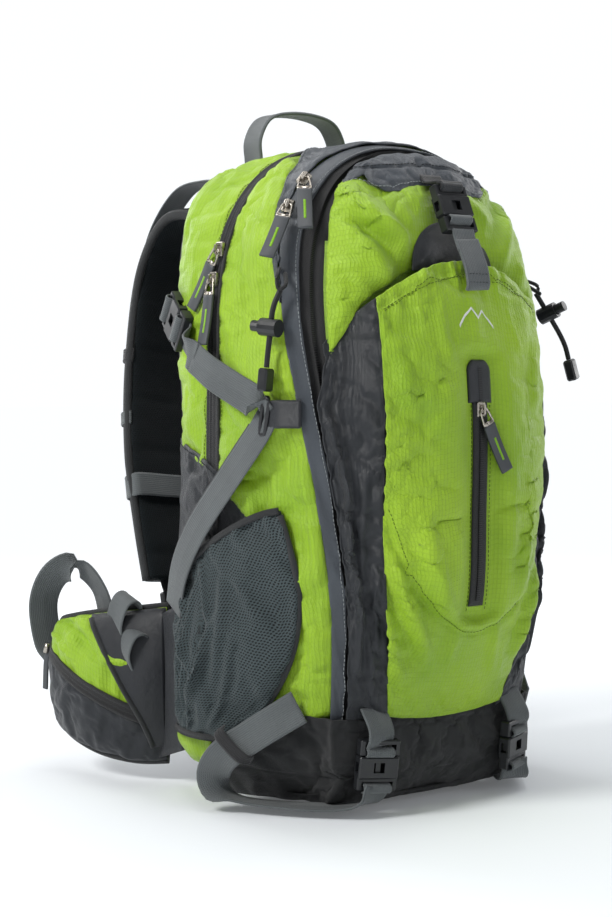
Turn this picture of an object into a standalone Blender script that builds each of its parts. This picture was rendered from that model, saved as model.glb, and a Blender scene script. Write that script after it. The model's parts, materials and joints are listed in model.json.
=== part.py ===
"""Hiking backpack of about 40 litres, standing on its base and zipped shut.

The frame is in metres: +Z up, -Y is the front of the pack, +Y the wearer's side, and -X the wearer's left.
The origin is in the middle of the flat base. The bag is sewn from two gussets, a front panel, a stash
pocket, a base and a back panel, and the hardware is placed on those surfaces.
"""

import math

import bmesh
import bpy
from mathutils import Matrix, Vector

# Driving dimensions of the bag
Y_BACK = 0.098  # seam between the rear gusset and the back panel
Y_ZIP = 0.037  # the main zip's plane
WALL = 0.004  # padded fabric wall
GAP = 0.0005  # clearance between neighbouring pieces
Z_FLOOR = 0.0125  # underside of the gussets, on top of the base
Z_CORNER = 0.050  # where the bottom corners begin
Z_SHOULDER = 0.360  # where the arched top begins
Z_HINGE = 0.430  # fold line of the top flap
FLAP_AXIS = (0.0, -0.0835, Z_HINGE)
Z_SEAM = 0.066  # seam between the base and the front panel
HEM_MIDDLE, HEM_DROP = 0.427, 0.030  # the stash pocket's arched mouth
WEBBING = 0.025  # width of the straps
WEB_THICK = 0.0018

# Half width of the bag at each height, for the seam at the back, at the main zip and at the front edge
SIDE_STATIONS = (0.050, 0.110, 0.155, 0.236, 0.317, 0.360)
BACK_WIDTH = dict(zip(SIDE_STATIONS, (0.128, 0.130, 0.128, 0.123, 0.123, 0.126)))
ZIP_WIDTH = dict(zip(SIDE_STATIONS, (0.137, 0.140, 0.140, 0.139, 0.138, 0.137)))
EDGE_WIDTH = dict(zip(SIDE_STATIONS, (0.098, 0.103, 0.107, 0.116, 0.128, 0.132)))
# Depth (Y) of the front edge, of the front panel's middle and of the stash pocket's middle, by height
EDGE_DEPTH = {0.012: -0.036, 0.05: -0.055, 0.11: -0.067, 0.155: -0.071, 0.236: -0.066, 0.317: -0.056,
              0.36: -0.048, 0.40: -0.039, 0.44: -0.027, 0.48: -0.019, 0.521: -0.021}
PANEL_DEPTH = {0.066: -0.074, 0.11: -0.083, 0.155: -0.091, 0.236: -0.095, 0.317: -0.094, 0.36: -0.091,
               0.40: -0.087, 0.43: -0.083, 0.46: -0.074, 0.485: -0.063, 0.503: -0.050, 0.519: -0.030}
POCKET_DEPTH = {0.066: -0.080, 0.11: -0.099, 0.155: -0.113, 0.236: -0.118, 0.317: -0.118, 0.36: -0.114,
                0.40: -0.107, 0.43: -0.101}
# How squarely each outline turns: the exponent of its superellipse
BACK_TURN, ZIP_TURN, BOTTOM_TURN = 4.0, 2.4, 2.6
PANEL_TURN, POCKET_TURN = 4.2, 3.0
GUSSET_TURN = 1.6
TOP_BACK, TOP_ZIP, TOP_EDGE = 0.511, 0.522, 0.521

COLOURS = {
    "green_ripstop": ((0.42, 0.60, 0.05), 0.55, 0.0),
    "grey_fabric": ((0.075, 0.085, 0.105), 0.6, 0.0),
    "black_fabric": ((0.015, 0.015, 0.017), 0.75, 0.0),
    "mesh": ((0.07, 0.10, 0.11), 0.85, 0.0),
    "spacer_mesh": ((0.01, 0.022, 0.026), 0.9, 0.0),
    "webbing": ((0.09, 0.105, 0.115), 0.8, 0.0),
    "buckle_plastic": ((0.035, 0.038, 0.042), 0.4, 0.0),
    "black_plastic": ((0.01, 0.01, 0.011), 0.35, 0.0),
    "zip_metal": ((0.55, 0.52, 0.48), 0.3, 1.0),
    "frame_plastic": ((0.05, 0.05, 0.05), 0.5, 0.0),
    "elastic_cord": ((0.01, 0.01, 0.01), 0.6, 0.0),
}


# ---------------------------------------------------------------- small tools

def clear_scene():
    for obj in list(bpy.data.objects):
        bpy.data.objects.remove(obj)


def material(name):
    found = bpy.data.materials.get(name)
    if found:
        return found
    colour, roughness, metallic = COLOURS[name]
    made = bpy.data.materials.new(name)
    made.use_nodes = True
    shader = made.node_tree.nodes["Principled BSDF"]
    shader.inputs["Base Color"].default_value = (*colour, 1)
    shader.inputs["Roughness"].default_value = roughness
    shader.inputs["Metallic"].default_value = metallic
    return made


def add_object(name, data, stuff, matrix=None, pivot=None):
    """One node. matrix places a mesh drawn in its own frame; pivot moves a mesh's origin onto its joint's axis."""
    if not data.materials:
        data.materials.append(material(stuff))
    obj = bpy.data.objects.new(name, data)
    bpy.context.scene.collection.objects.link(obj)
    if matrix is not None:
        obj.matrix_world = matrix
    if pivot is not None:
        data.transform(Matrix.Translation(-Vector(pivot)))
        obj.location = pivot
    return obj


def mesh_from(name, points, faces):
    """A closed mesh with its faces pointing out and its near-identical points made one."""
    mesh = bpy.data.meshes.new(name)
    mesh.from_pydata([tuple(p) for p in points], [], faces)
    bm = bmesh.new()
    bm.from_mesh(mesh)
    bmesh.ops.remove_doubles(bm, verts=bm.verts, dist=1e-6)
    bmesh.ops.recalc_face_normals(bm, faces=bm.faces)
    bm.to_mesh(mesh)
    bm.free()
    return mesh


def curve_at(table, z):
    """A smooth value between the stations of a {height: value} table, level with its ends outside them."""
    keys = sorted(table)
    z = min(max(z, keys[0]), keys[-1])
    i = max(k for k in range(len(keys) - 1) if keys[k] <= z)
    near = [keys[max(i - 1, 0)], keys[i], keys[i + 1], keys[min(i + 2, len(keys) - 1)]]
    value = [table[k] for k in near]
    step = near[2] - near[1]
    slope_in = (value[2] - value[0]) / (near[2] - near[0])
    slope_out = (value[3] - value[1]) / (near[3] - near[1])
    t = (z - near[1]) / step
    return (value[1] * (1 + 2 * t) * (1 - t) ** 2 + slope_in * step * t * (1 - t) ** 2
            + value[2] * t * t * (3 - 2 * t) - slope_out * step * t * t * (1 - t))


def smooth_path(points, samples):
    """Points evenly spread along a Catmull-Rom curve through the given ones."""
    points = [Vector(p) for p in points]
    ends = [points[0] * 2 - points[1], *points, points[-1] * 2 - points[-2]]
    found = []
    for i in range(samples + 1):
        at = i / samples * (len(points) - 1)
        k = min(int(at), len(points) - 2)
        t = at - k
        a, b, c, d = ends[k:k + 4]
        found.append(0.5 * ((2 * b) + (c - a) * t + (2 * a - 5 * b + 4 * c - d) * t * t
                            + (3 * b - a - 3 * c + d) * t ** 3))
    return found


def grid_shell(outer, inner):
    """(points, faces) of the closed sheet between two grids of the same size."""
    rows, columns = len(outer), len(outer[0])
    points = [p for grid in (outer, inner) for row in grid for p in row]

    def at(layer, r, c):
        return layer * rows * columns + r * columns + c

    faces = []
    for r in range(rows - 1):
        for c in range(columns - 1):
            faces.append((at(0, r, c), at(0, r, c + 1), at(0, r + 1, c + 1), at(0, r + 1, c)))
            faces.append((at(1, r, c), at(1, r + 1, c), at(1, r + 1, c + 1), at(1, r, c + 1)))
    border = ([(0, c) for c in range(columns)] + [(r, columns - 1) for r in range(1, rows)]
              + [(rows - 1, c) for c in range(columns - 2, -1, -1)] + [(r, 0) for r in range(rows - 2, 0, -1)])
    for (r1, c1), (r2, c2) in zip(border, border[1:] + border[:1]):
        faces.append((at(0, r1, c1), at(1, r1, c1), at(1, r2, c2), at(0, r2, c2)))
    return points, faces


def boolean(obj, other, operation):
    modifier = obj.modifiers.new(operation.lower(), "BOOLEAN")
    modifier.operation = operation
    modifier.object = other
    modifier.solver = "EXACT"


def box_mesh(name, low, high, bevel=0.0):
    bm = bmesh.new()
    bmesh.ops.create_cube(bm, size=1.0)
    low, high = Vector(low), Vector(high)
    for vert in bm.verts:
        vert.co = Vector(((low[i] + high[i]) / 2 + vert.co[i] * (high[i] - low[i])) for i in range(3))
    if bevel:
        bmesh.ops.bevel(bm, geom=bm.edges, offset=bevel, segments=1, affect="EDGES")
    mesh = bpy.data.meshes.new(name)
    bm.to_mesh(mesh)
    bm.free()
    return mesh


def rod_mesh(name, radius, length, start=0.0, sides=16):
    """A rod along +Y, from start to start + length."""
    bm = bmesh.new()
    bmesh.ops.create_cone(bm, cap_ends=True, segments=sides, radius1=radius, radius2=radius, depth=length)
    turn = Matrix.Rotation(math.radians(-90), 4, "X")
    bmesh.ops.transform(bm, matrix=Matrix.Translation((0, start + length / 2, 0)) @ turn, verts=bm.verts)
    mesh = bpy.data.meshes.new(name)
    bm.to_mesh(mesh)
    bm.free()
    return mesh


def combined(name, first, steps):
    """One mesh made from a first mesh and (operation, mesh) steps, with the helpers removed."""
    base = bpy.data.objects.new(name + "_base", first)
    bpy.context.scene.collection.objects.link(base)
    helpers = []
    for operation, mesh in steps:
        helper = bpy.data.objects.new(name + "_helper", mesh)
        bpy.context.scene.collection.objects.link(helper)
        helpers.append(helper)
        boolean(base, helper, operation)
    graph = bpy.context.evaluated_depsgraph_get()
    made = bpy.data.meshes.new_from_object(base.evaluated_get(graph))
    made.name = name
    for helper in [*helpers, base]:
        bpy.data.objects.remove(helper)
    return made


def strap_mesh(name, path, across, width=WEBBING, thick=WEB_THICK, samples=14, closed_rise=None):
    """A flat band along a smooth path. across is the direction of its width, one for all or one per path point."""
    line = smooth_path(path, samples)
    several = isinstance(across, list)
    sideways = smooth_path(across, samples) if several else [Vector(across)] * len(line)
    outer, inner = [], []
    for i, p in enumerate(line):
        along = (line[min(i + 1, len(line) - 1)] - line[max(i - 1, 0)]).normalized()
        side = (sideways[i] - along * sideways[i].dot(along)).normalized()
        out = along.cross(side)
        half = width(i / (len(line) - 1)) / 2 if callable(width) else width / 2
        deep = thick(i / (len(line) - 1)) / 2 if callable(thick) else thick / 2
        outer.append([p - side * half + out * deep, p + side * half + out * deep])
        inner.append([p - side * half - out * deep, p + side * half - out * deep])
    return mesh_from(name, *grid_shell(outer, inner))


# ---------------------------------------------------------------- the bag's surfaces

def half_width(table, turn, top, z):
    """Half width of one of the bag's outlines at height z."""
    if z < Z_CORNER:
        t = (Z_CORNER - z) / (Z_CORNER - Z_FLOOR)
        return table[SIDE_STATIONS[0]] * max(1 - t ** BOTTOM_TURN, 0) ** (1 / BOTTOM_TURN)
    if z > Z_SHOULDER:
        t = (z - Z_SHOULDER) / (top - Z_SHOULDER)
        return table[SIDE_STATIONS[-1]] * max(1 - t ** turn, 0) ** (1 / turn)
    return curve_at(table, z)


def edge_width(z):
    return half_width(EDGE_WIDTH, ZIP_TURN, TOP_EDGE, z)


def arch(table, turn, top, depth, inset=0.0):
    """A closed outline round the bag, from the middle of the bottom up the +X side and back down the other.
    depth gives its Y at each height."""
    half = []
    for degrees in (90, 62, 40, 20):
        angle = math.radians(degrees)
        x = table[SIDE_STATIONS[0]] * math.cos(angle) ** (2 / BOTTOM_TURN)
        half.append((x, Z_CORNER - (Z_CORNER - Z_FLOOR) * math.sin(angle) ** (2 / BOTTOM_TURN)))
    half += [(table[z], z) for z in SIDE_STATIONS[:-1]]
    for degrees in (0, 22, 40, 55, 70, 90):
        angle = math.radians(degrees)
        x = table[SIDE_STATIONS[-1]] * math.cos(angle) ** (2 / turn)
        half.append((x, Z_SHOULDER + (top - Z_SHOULDER) * math.sin(angle) ** (2 / turn)))
    half[0] = (0.0, half[0][1])
    half[-1] = (0.0, half[-1][1])
    loop = half + [(-x, z) for x, z in half[-2:0:-1]]
    centre = (Z_FLOOR + top) / 2
    tall = (top - Z_FLOOR) / 2
    widest = max(table.values())
    shrink_x, shrink_z = 1 - inset / widest, 1 - inset / tall
    return [Vector((x * shrink_x, depth(z), centre + (z - centre) * shrink_z)) for x, z in loop]


def back_arch(y, inset=0.0):
    return arch(BACK_WIDTH, BACK_TURN, TOP_BACK, lambda z: y, inset)


def zip_arch(y, inset=0.0):
    return arch(ZIP_WIDTH, ZIP_TURN, TOP_ZIP, lambda z: y, inset)


def edge_arch(offset, inset=0.0):
    return arch(EDGE_WIDTH, ZIP_TURN, TOP_EDGE, lambda z: curve_at(EDGE_DEPTH, z) + offset, inset)


def panel_y(x, z):
    """Depth of the front panel's face."""
    edge = curve_at(EDGE_DEPTH, z) - WALL - GAP
    middle = curve_at(PANEL_DEPTH, z)
    return middle + (edge - middle) * min(abs(x) / max(edge_width(z), 1e-4), 1.0) ** PANEL_TURN


def pocket_half_width(z):
    return 0.87 * edge_width(z)


def pocket_y(x, z):
    """Depth of the stash pocket's face."""
    edge_x = pocket_half_width(z)
    edge = panel_y(edge_x, z) - WALL - GAP
    middle = curve_at(POCKET_DEPTH, z)
    return middle + (edge - middle) * min(abs(x) / edge_x, 1.0) ** POCKET_TURN


def side_x(y, z):
    """Half width of the bag at depth y and height z, across both gussets."""
    edge_y = curve_at(EDGE_DEPTH, z)
    back = half_width(BACK_WIDTH, BACK_TURN, TOP_BACK, z)
    middle = half_width(ZIP_WIDTH, ZIP_TURN, TOP_ZIP, z)
    if y > Y_ZIP:
        t = min((y - Y_ZIP) / (Y_BACK - Y_ZIP), 1.0)
        return middle + (back - middle) * t ** GUSSET_TURN
    t = min((Y_ZIP - y) / (Y_ZIP - edge_y), 1.0)
    return middle + (edge_width(z) - middle) * t ** GUSSET_TURN


def between(first, second, share):
    """A loop part of the way from first to second in depth, bulged outwards as a filled bag is."""
    bulged = share ** GUSSET_TURN
    return [Vector((a.x + (b.x - a.x) * bulged, a.y + (b.y - a.y) * share, a.z + (b.z - a.z) * bulged))
            for a, b in zip(first, second)]


def ring_points(loops):
    """(points, faces) of the open skin through several loops."""
    count = len(loops[0])
    points = [p for loop in loops for p in loop]
    faces = []
    for k in range(len(loops) - 1):
        for i in range(count):
            j = (i + 1) % count
            faces.append((k * count + i, k * count + j, (k + 1) * count + j, (k + 1) * count + i))
    return points, faces


def across_cap(count, start):
    """Faces closing a symmetric loop with strips straight across, from bottom to top."""
    half = count // 2
    faces = [(start, start + 1, start + count - 1)]
    for i in range(1, half - 1):
        faces.append((start + i, start + i + 1, start + count - i - 1, start + count - i))
    faces.append((start + half - 1, start + half, start + half + 1))
    return faces


def rear_gusset():
    """Ring of fabric from the back seam to the main zip, padded by one wall."""
    skins = []
    for inset in (0.0, WALL):
        zip_loop, back_loop = zip_arch(Y_ZIP + GAP, inset), back_arch(Y_BACK, inset)
        skins.append([zip_loop, between(zip_loop, back_loop, 0.5), back_loop])
    loops = skins[0] + skins[1][::-1]
    points, faces = ring_points(loops + [loops[0]])
    add_object("rear_gusset", mesh_from("rear_gusset", points, faces), "green_ripstop")


def front_gusset():
    """Tub from the main zip to the front edge, closed in front by the divider between the compartments."""
    outer_zip, outer_edge = zip_arch(Y_ZIP - GAP), edge_arch(0.0)
    inner_zip, inner_edge = zip_arch(Y_ZIP - GAP, WALL), edge_arch(WALL, WALL)
    loops = [inner_edge, between(inner_zip, inner_edge, 0.5), inner_zip,
             outer_zip, between(outer_zip, outer_edge, 0.5), outer_edge]
    points, faces = ring_points(loops)
    count = len(outer_zip)
    faces += across_cap(count, 0) + across_cap(count, count * (len(loops) - 1))
    add_object("front_gusset", mesh_from("front_gusset", points, faces), "green_ripstop")


def face_grid(depth_at, width_at, heights, columns, offset, bottom=None):
    """Rows of points across a front face. heights are (low, high) functions of the share of the half width."""
    low, high, rows = heights
    grid = []
    for r in range(rows + 1):
        row = []
        for c in range(-columns, columns + 1):
            share = c / columns
            z = low + (high(share) - low) * r / rows
            x = share * width_at(z)
            row.append(Vector((x, depth_at(x, z) + offset, z)))
        grid.append(row)
    return grid


def front_panel():
    heights = (Z_SEAM + GAP, lambda share: Z_HINGE - GAP, 8)
    outer = face_grid(panel_y, edge_width, heights, 6, 0.0)
    inner = face_grid(panel_y, edge_width, heights, 6, WALL)
    add_object("front_panel", mesh_from("front_panel", *grid_shell(outer, inner)), "green_ripstop")


def top_flap():
    """The front panel above its fold line, with the crown: it opens forwards when the front zip is run round."""
    heights = (Z_HINGE + GAP, lambda share: 0.519, 6)
    outer = face_grid(panel_y, edge_width, heights, 6, 0.0)
    inner = face_grid(panel_y, edge_width, heights, 6, WALL)
    add_object("top_flap", mesh_from("top_flap", *grid_shell(outer, inner)), "green_ripstop", pivot=FLAP_AXIS)


def stash_pocket():
    def hem(share):
        return HEM_MIDDLE - HEM_DROP * share * share

    heights = (Z_SEAM + GAP, hem, 8)
    outer = face_grid(pocket_y, pocket_half_width, heights, 6, 0.0)
    inner = face_grid(pocket_y, pocket_half_width, heights, 6, WALL)
    for row in inner:
        for p in row:
            p.y = min(p.y, panel_y(p.x, p.z) - GAP)
    add_object("stash_pocket", mesh_from("stash_pocket", *grid_shell(outer, inner)), "green_ripstop")


def lip_row(z, deep):
    """The base lip at height z, deep under its outer face: along one flank, round the front, along the other."""
    level = max(z, 0.032)
    under = 1 - z / 0.032 if z < 0.032 else 0.0
    rear_y = -0.004 - 0.030 * z / Z_SEAM
    front_y = curve_at(EDGE_DEPTH, level)
    half = []
    for share in (0.0, 0.5, 1.0):
        y = rear_y + (front_y + 0.006 - rear_y) * share
        half.append(Vector((side_x(y, level) + 0.0015 + WALL - deep, y, z)))
    for share in (0.96, 0.75, 0.45, 0.0):
        x = share * edge_width(level)
        half.append(Vector((x + share * 0.002, panel_y(x, level) - 0.0020 + deep, z)))
    for p in half:
        p.x *= 1 - 0.10 * under ** 2
        p.y += 0.018 * under ** 2
    return [Vector((-p.x, p.y, p.z)) for p in half] + half[-2::-1]


def base_panel():
    """Tough base: a flat sole with a lip that turns up the front to the front panel's seam."""
    heights = (0.004, 0.016, 0.032, 0.050, Z_SEAM)
    outer, inner = ([lip_row(z, deep) for z in heights] for deep in (0.0, WALL))
    front = mesh_from("base_lip", *grid_shell(outer, inner))
    rim = [(a + b) / 2 for a, b in zip(outer[0], inner[0])]
    ring = [(p.x, p.y) for p in rim] + [(0.112, 0.030), (0.112, 0.075), (0.100, 0.090), (-0.100, 0.090),
                                        (-0.112, 0.075), (-0.112, 0.030)]
    points = [Vector((x, y, z)) for z in (0.0, Z_FLOOR - 0.0015) for x, y in ring]
    count = len(ring)
    faces = [tuple(range(count)), tuple(range(count, 2 * count))]
    faces += [(i, (i + 1) % count, (i + 1) % count + count, i + count) for i in range(count)]
    sole = mesh_from("base_sole", points, faces)
    add_object("base_panel", combined("base_panel", sole, [("UNION", front)]), "black_fabric")


def back_panel():
    """Foam back with a raised lumbar pad, its outline just inside the back seam."""
    outer = back_arch(Y_BACK + GAP, 0.003)
    full = back_arch(Y_BACK + 0.012, 0.002)
    rounded = back_arch(Y_BACK + 0.018, 0.012)
    points, faces = ring_points([outer, full, rounded])
    count = len(outer)
    faces += across_cap(count, 0) + across_cap(count, 2 * count)
    add_object("back_panel", mesh_from("back_panel", points, faces), "spacer_mesh")


def frame_sheet():
    """Stiffener board between the main compartment and the back panel."""
    back = back_arch(Y_BACK - 0.002, 0.012)
    front = back_arch(Y_BACK - 0.0045, 0.012)
    points, faces = ring_points([front, back])
    count = len(front)
    faces += across_cap(count, 0) + across_cap(count, count)
    add_object("frame_sheet", mesh_from("frame_sheet", points, faces), "frame_plastic")


def mesh_pocket(name, side):
    """Stretch pouch on the flank, its mouth sloping down to the back."""
    def grid(extra):
        rows = []
        for r in range(7):
            v = r / 6
            row = []
            for c in range(7):
                u = c / 6
                top = 0.235 - 0.045 * u ** 1.5
                z = 0.034 + (top - 0.034) * v
                front = curve_at(EDGE_DEPTH, z) + 0.034 - 0.020 * v
                y = front + (0.090 - front) * u
                bulge = 0.017 * math.sin(math.pi * u) ** 0.7 * math.sin(math.pi * (0.12 + 0.80 * v)) ** 0.7
                base = 0.0020 + (0.0025 if extra == 0 else 0.0)
                row.append(Vector((side * (side_x(y, z) + base + bulge), y, z)))
            rows.append(row)
        return rows

    add_object(name, mesh_from(name, *grid_shell(grid(0), grid(1))), "mesh")


# ---------------------------------------------------------------- harness

SHOULDER_AXIS = (0.1200, 0.4980)  # Y and Z of the hinge line, at the load lifters' seam
SHOULDER_ROUTE = ((0.046, 0.1250, 0.430), (0.047, 0.142, 0.468), (0.055, 0.178, 0.468), (0.064, 0.201, 0.425),
                  (0.077, 0.199, 0.350), (0.089, 0.184, 0.280), (0.097, 0.163, 0.215), (0.101, 0.147, 0.165))


def mirrored(points, side):
    return [(side * x, y, z) for x, y, z in points]


def shoulder_strap(name, side):
    def width(t):
        return 0.058 - 0.016 * max(t - 0.75, 0) * 4 * 0.6

    mesh = strap_mesh(name, mirrored(SHOULDER_ROUTE, side), (1, 0, 0), width, 0.013, samples=16)
    add_object(name, mesh, "spacer_mesh", pivot=(side * 0.05, *SHOULDER_AXIS))


def ladder_lock_mesh():
    """Adjuster on the pad's end: a plate with two webbing slots. Local +Z points up the strap."""
    plate = box_mesh("ladder_lock", (-0.0165, -0.003, -0.012), (0.0165, 0.003, 0.012), 0.0012)
    slots = [box_mesh("slot", (-0.0128, -0.01, z - 0.0016), (0.0128, 0.01, z + 0.0016)) for z in (-0.006, 0.005)]
    return combined("ladder_lock", plate, [("DIFFERENCE", slot) for slot in slots])


def shoulder_webbing(name, side):
    route = ((0.0930, 0.134, 0.122), (0.0900, 0.138, 0.100), (0.0870, 0.131, 0.075), (0.0850, 0.1195, 0.052))
    mesh = strap_mesh(name, mirrored(route, side), (1, 0, 0), samples=6)
    add_object(name, mesh, "webbing")


def load_lifter(name, side):
    """Webbing from the top of the back to the strap, with its tail hanging behind the pad."""
    route = ((0.050, 0.1185, 0.498), (0.053, 0.150, 0.502), (0.058, 0.186, 0.494), (0.064, 0.216, 0.455),
             (0.068, 0.221, 0.400), (0.071, 0.224, 0.345), (0.073, 0.220, 0.300))
    mesh = strap_mesh(name, mirrored(route, side), (1, 0, 0), samples=14)
    add_object(name, mesh, "webbing")


def sternum_strap(name, side):
    """Chest strap half on the pad's outer face, hanging unfastened towards the middle."""
    route = ((0.070, 0.2105, 0.385), (0.048, 0.2125, 0.378), (0.032, 0.210, 0.352), (0.027, 0.207, 0.310),
             (0.026, 0.205, 0.275))
    mesh = strap_mesh(name, mirrored(route, side), [(0, 0, 1), (0.3 * side, 0, 1), (1 * side, 0, 0.5),
                                                     (1 * side, 0, 0), (1 * side, 0, 0)],
                      0.020, samples=10)
    add_object(name, mesh, "webbing")


WING_HINGE = (0.114, 0.124)  # X and Y of the belt wings' fold line
WING_ROUTE = ((0.116, 0.128, 0.082), (0.134, 0.150, 0.080), (0.149, 0.184, 0.080), (0.153, 0.220, 0.082),
              (0.146, 0.246, 0.086))


def hip_wing(name, side):
    """Padded belt wing with its zipped pocket, tapering to the tip."""
    def height(t):
        return 0.128 - 0.050 * t ** 2

    def thick(t):
        return 0.014 + 0.018 * math.sin(math.pi * min(max(t, 0), 1)) ** 0.6

    mesh = strap_mesh(name, mirrored(WING_ROUTE, side), (0, 0, 1), height, thick, samples=10)
    add_object(name, mesh, "green_ripstop", pivot=(side * WING_HINGE[0], WING_HINGE[1], 0.082))


HIP_STRAP_ROUTE = ((0.146, 0.2490, 0.090), (0.149, 0.262, 0.105), (0.154, 0.262, 0.140), (0.152, 0.245, 0.166),
                   (0.140, 0.227, 0.172), (0.128, 0.214, 0.154), (0.1225, 0.209, 0.125), (0.1215, 0.207, 0.098))


def hip_strap(name, side):
    """Belt webbing from the wing's tip, laid back over the wing."""
    across = [(0.9 * side, 0.25, 0)] * 3 + [(0.7 * side, 0.6, 0), (0.4 * side, 0.9, 0.1)] + [(0, 1.0, 0.1)] * 3
    mesh = strap_mesh(name, mirrored(HIP_STRAP_ROUTE, side), across, samples=18)
    add_object(name, mesh, "webbing")


def haul_handle():
    route = ((-0.044, 0.1035, 0.5135), (-0.046, 0.1035, 0.530), (-0.034, 0.1035, 0.552), (0.0, 0.1035, 0.5575),
             (0.034, 0.1035, 0.552), (0.046, 0.1035, 0.530), (0.044, 0.1035, 0.5135))
    mesh = strap_mesh("haul_handle", route, (0, 1, 0), 0.024, 0.003, samples=18)
    add_object("haul_handle", mesh, "webbing", pivot=(0, 0.1035, 0.5135))


# ---------------------------------------------------------------- buckles and straps

def buckle_female_mesh():
    """Socket of a side-release buckle for 25 mm webbing. Its mouth is at the local origin, facing -Z, +Y out."""
    shell = box_mesh("socket", (-0.0165, -0.0052, 0.0), (0.0165, 0.0052, 0.0175), 0.0012)
    bar = box_mesh("bar", (-0.0165, -0.0038, 0.0150), (0.0165, 0.0038, 0.0265), 0.0008)
    cuts = [box_mesh("cavity", (-0.0135, -0.0034, -0.002), (0.0135, 0.0034, 0.0150)),
            box_mesh("window", (-0.03, -0.0026, 0.0050), (0.03, 0.0026, 0.0128)),
            box_mesh("slot", (-0.0130, -0.02, 0.0195), (0.0130, 0.02, 0.0235)),
            box_mesh("face_window", (-0.0045, 0.001, 0.0045), (0.0045, 0.02, 0.0125))]
    return combined("buckle_female", shell, [("UNION", bar)] + [("DIFFERENCE", cut) for cut in cuts])


def buckle_male_mesh():
    """Plug of the buckle: a webbing bar with two springy prongs and a guide, in place in the socket."""
    bar = box_mesh("plug", (-0.0165, -0.0042, -0.0128), (0.0165, 0.0042, -0.0006), 0.0008)
    parts = [box_mesh("guide", (-0.0020, -0.0026, -0.003), (0.0020, 0.0026, 0.0130))]
    for side in (-1, 1):
        ends = sorted((side * 0.0078, side * 0.0118))
        tips = sorted((side * 0.0078, side * 0.0131))
        parts.append(box_mesh("prong", (ends[0], -0.0026, -0.003), (ends[1], 0.0026, 0.0118)))
        parts.append(box_mesh("barb", (tips[0], -0.0024, 0.0062), (tips[1], 0.0024, 0.0122)))
    slot = box_mesh("slot", (-0.0130, -0.02, -0.0096), (0.0130, 0.02, -0.0052))
    return combined("buckle_male", bar, [("UNION", part) for part in parts] + [("DIFFERENCE", slot)])


def frame_at(position, up, out):
    """A matrix whose local +Z is up, +Y leans to out and +X completes it."""
    z = Vector(up).normalized()
    y = (Vector(out) - z * Vector(out).dot(z)).normalized()
    x = y.cross(z)
    turned = Matrix((x, y, z)).transposed().to_4x4()
    return Matrix.Translation(position) @ turned


def buckle_pair(names, sockets, matrix):
    for name, mesh in zip(names, sockets):
        add_object(name, mesh, "buckle_plastic", matrix)


LID_BUCKLE = frame_at((0, -0.0930, 0.4600), (0, 0.42, 1), (0, -1, 0.42))


def side_buckle_frame(side):
    return frame_at((side * 0.1385, 0.080, 0.377), (-0.20 * side, 0.72, 0.55), (side, 0.20, 0))


def bottom_buckle_frame(side):
    return frame_at((side * 0.0735, -0.0860, 0.0480), (0.04 * side, 0.10, -1), (0.32 * side, -1, -0.10))


def side_strap(name, side):
    """Compression strap: from the buckle forwards to its loop on the front edge, then back down to the hip."""
    route = ((0.1500, 0.046, 0.3520), (0.1490, 0.025, 0.340), (0.1455, 0.000, 0.328), (0.1418, -0.026, 0.317),
             (0.1402, -0.036, 0.306), (0.1430, -0.026, 0.292), (0.1500, 0.005, 0.258), (0.1590, 0.040, 0.220),
             (0.1615, 0.072, 0.185), (0.1530, 0.097, 0.150))
    across = [(0, 0.45, 1)] * 3 + [(0, 0.75, 0.7), (0, 1, 0.3)] + [(0, 0.74, 0.68)] * 5
    across = [(x * side, y, z) for x, y, z in across]
    mesh = strap_mesh(name, mirrored(route, side), across, samples=24)
    add_object(name, mesh, "webbing")


def bottom_strap(name, side):
    """Mat strap: from the flank down and round under the corner to the plug of its buckle."""
    route = ((0.124, -0.046, 0.082), (0.1480, -0.016, 0.056), (0.1560, 0.012, 0.026), (0.1490, 0.022, 0.0085),
             (0.133, -0.004, 0.0065), (0.112, -0.040, 0.0065), (0.088, -0.066, 0.0065), (0.0775, -0.0790, 0.0085),
             (0.0745, -0.0835, 0.0165))
    across = [(0.3 * side, 0.75, 0.6), (0.2 * side, 0.8, 0.6), (0.5 * side, 0.9, 0.3), (0.9 * side, 0.5, 0.1),
              (0.9 * side, -0.5, 0.1), (0.85 * side, -0.5, 0), (0.9 * side, -0.45, 0), (1 * side, -0.15, 0), (1 * side, 0, 0)]
    mesh = strap_mesh(name, mirrored(route, side), across, samples=20)
    add_object(name, mesh, "webbing")


def lid_strap():
    route = ((0, -0.1104, 0.4100), (0, -0.1096, 0.4160), (0, -0.1084, 0.4220), (0, -0.1068, 0.4270))
    add_object("lid_strap", strap_mesh("lid_strap", route, (1, 0, 0), samples=6), "webbing")


# ---------------------------------------------------------------- elastic cords and their locks

CORD_RADIUS = 0.0021
LEFT_CORD = ((-0.1370, -0.0465, 0.402), (-0.1410, -0.0450, 0.393), (-0.1430, -0.0442, 0.385), (-0.1437, -0.0432, 0.374),
             (-0.1444, -0.0422, 0.363), (-0.1451, -0.0412, 0.353), (-0.1456, -0.0406, 0.344))
RIGHT_CORD = ((0.1352, -0.0490, 0.4060), (0.1400, -0.0510, 0.3980), (0.1452, -0.0532, 0.3893), (0.1504, -0.0554, 0.3806),
              (0.1556, -0.0576, 0.3715), (0.1600, -0.0596, 0.3615), (0.1625, -0.0610, 0.3510))
LOCK_AT = {"left": 3, "right": 2}  # which point of the route the lock sits on


def bungee_cord(name, route):
    data = bpy.data.curves.new(name, "CURVE")
    data.dimensions = "3D"
    data.bevel_depth = CORD_RADIUS
    data.bevel_resolution = 2
    data.use_fill_caps = True
    line = smooth_path(route, 14)
    spline = data.splines.new("POLY")
    spline.points.add(len(line) - 1)
    for point, place in zip(spline.points, line):
        point.co = (*place, 1)
    add_object(name, data, "elastic_cord")


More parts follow.
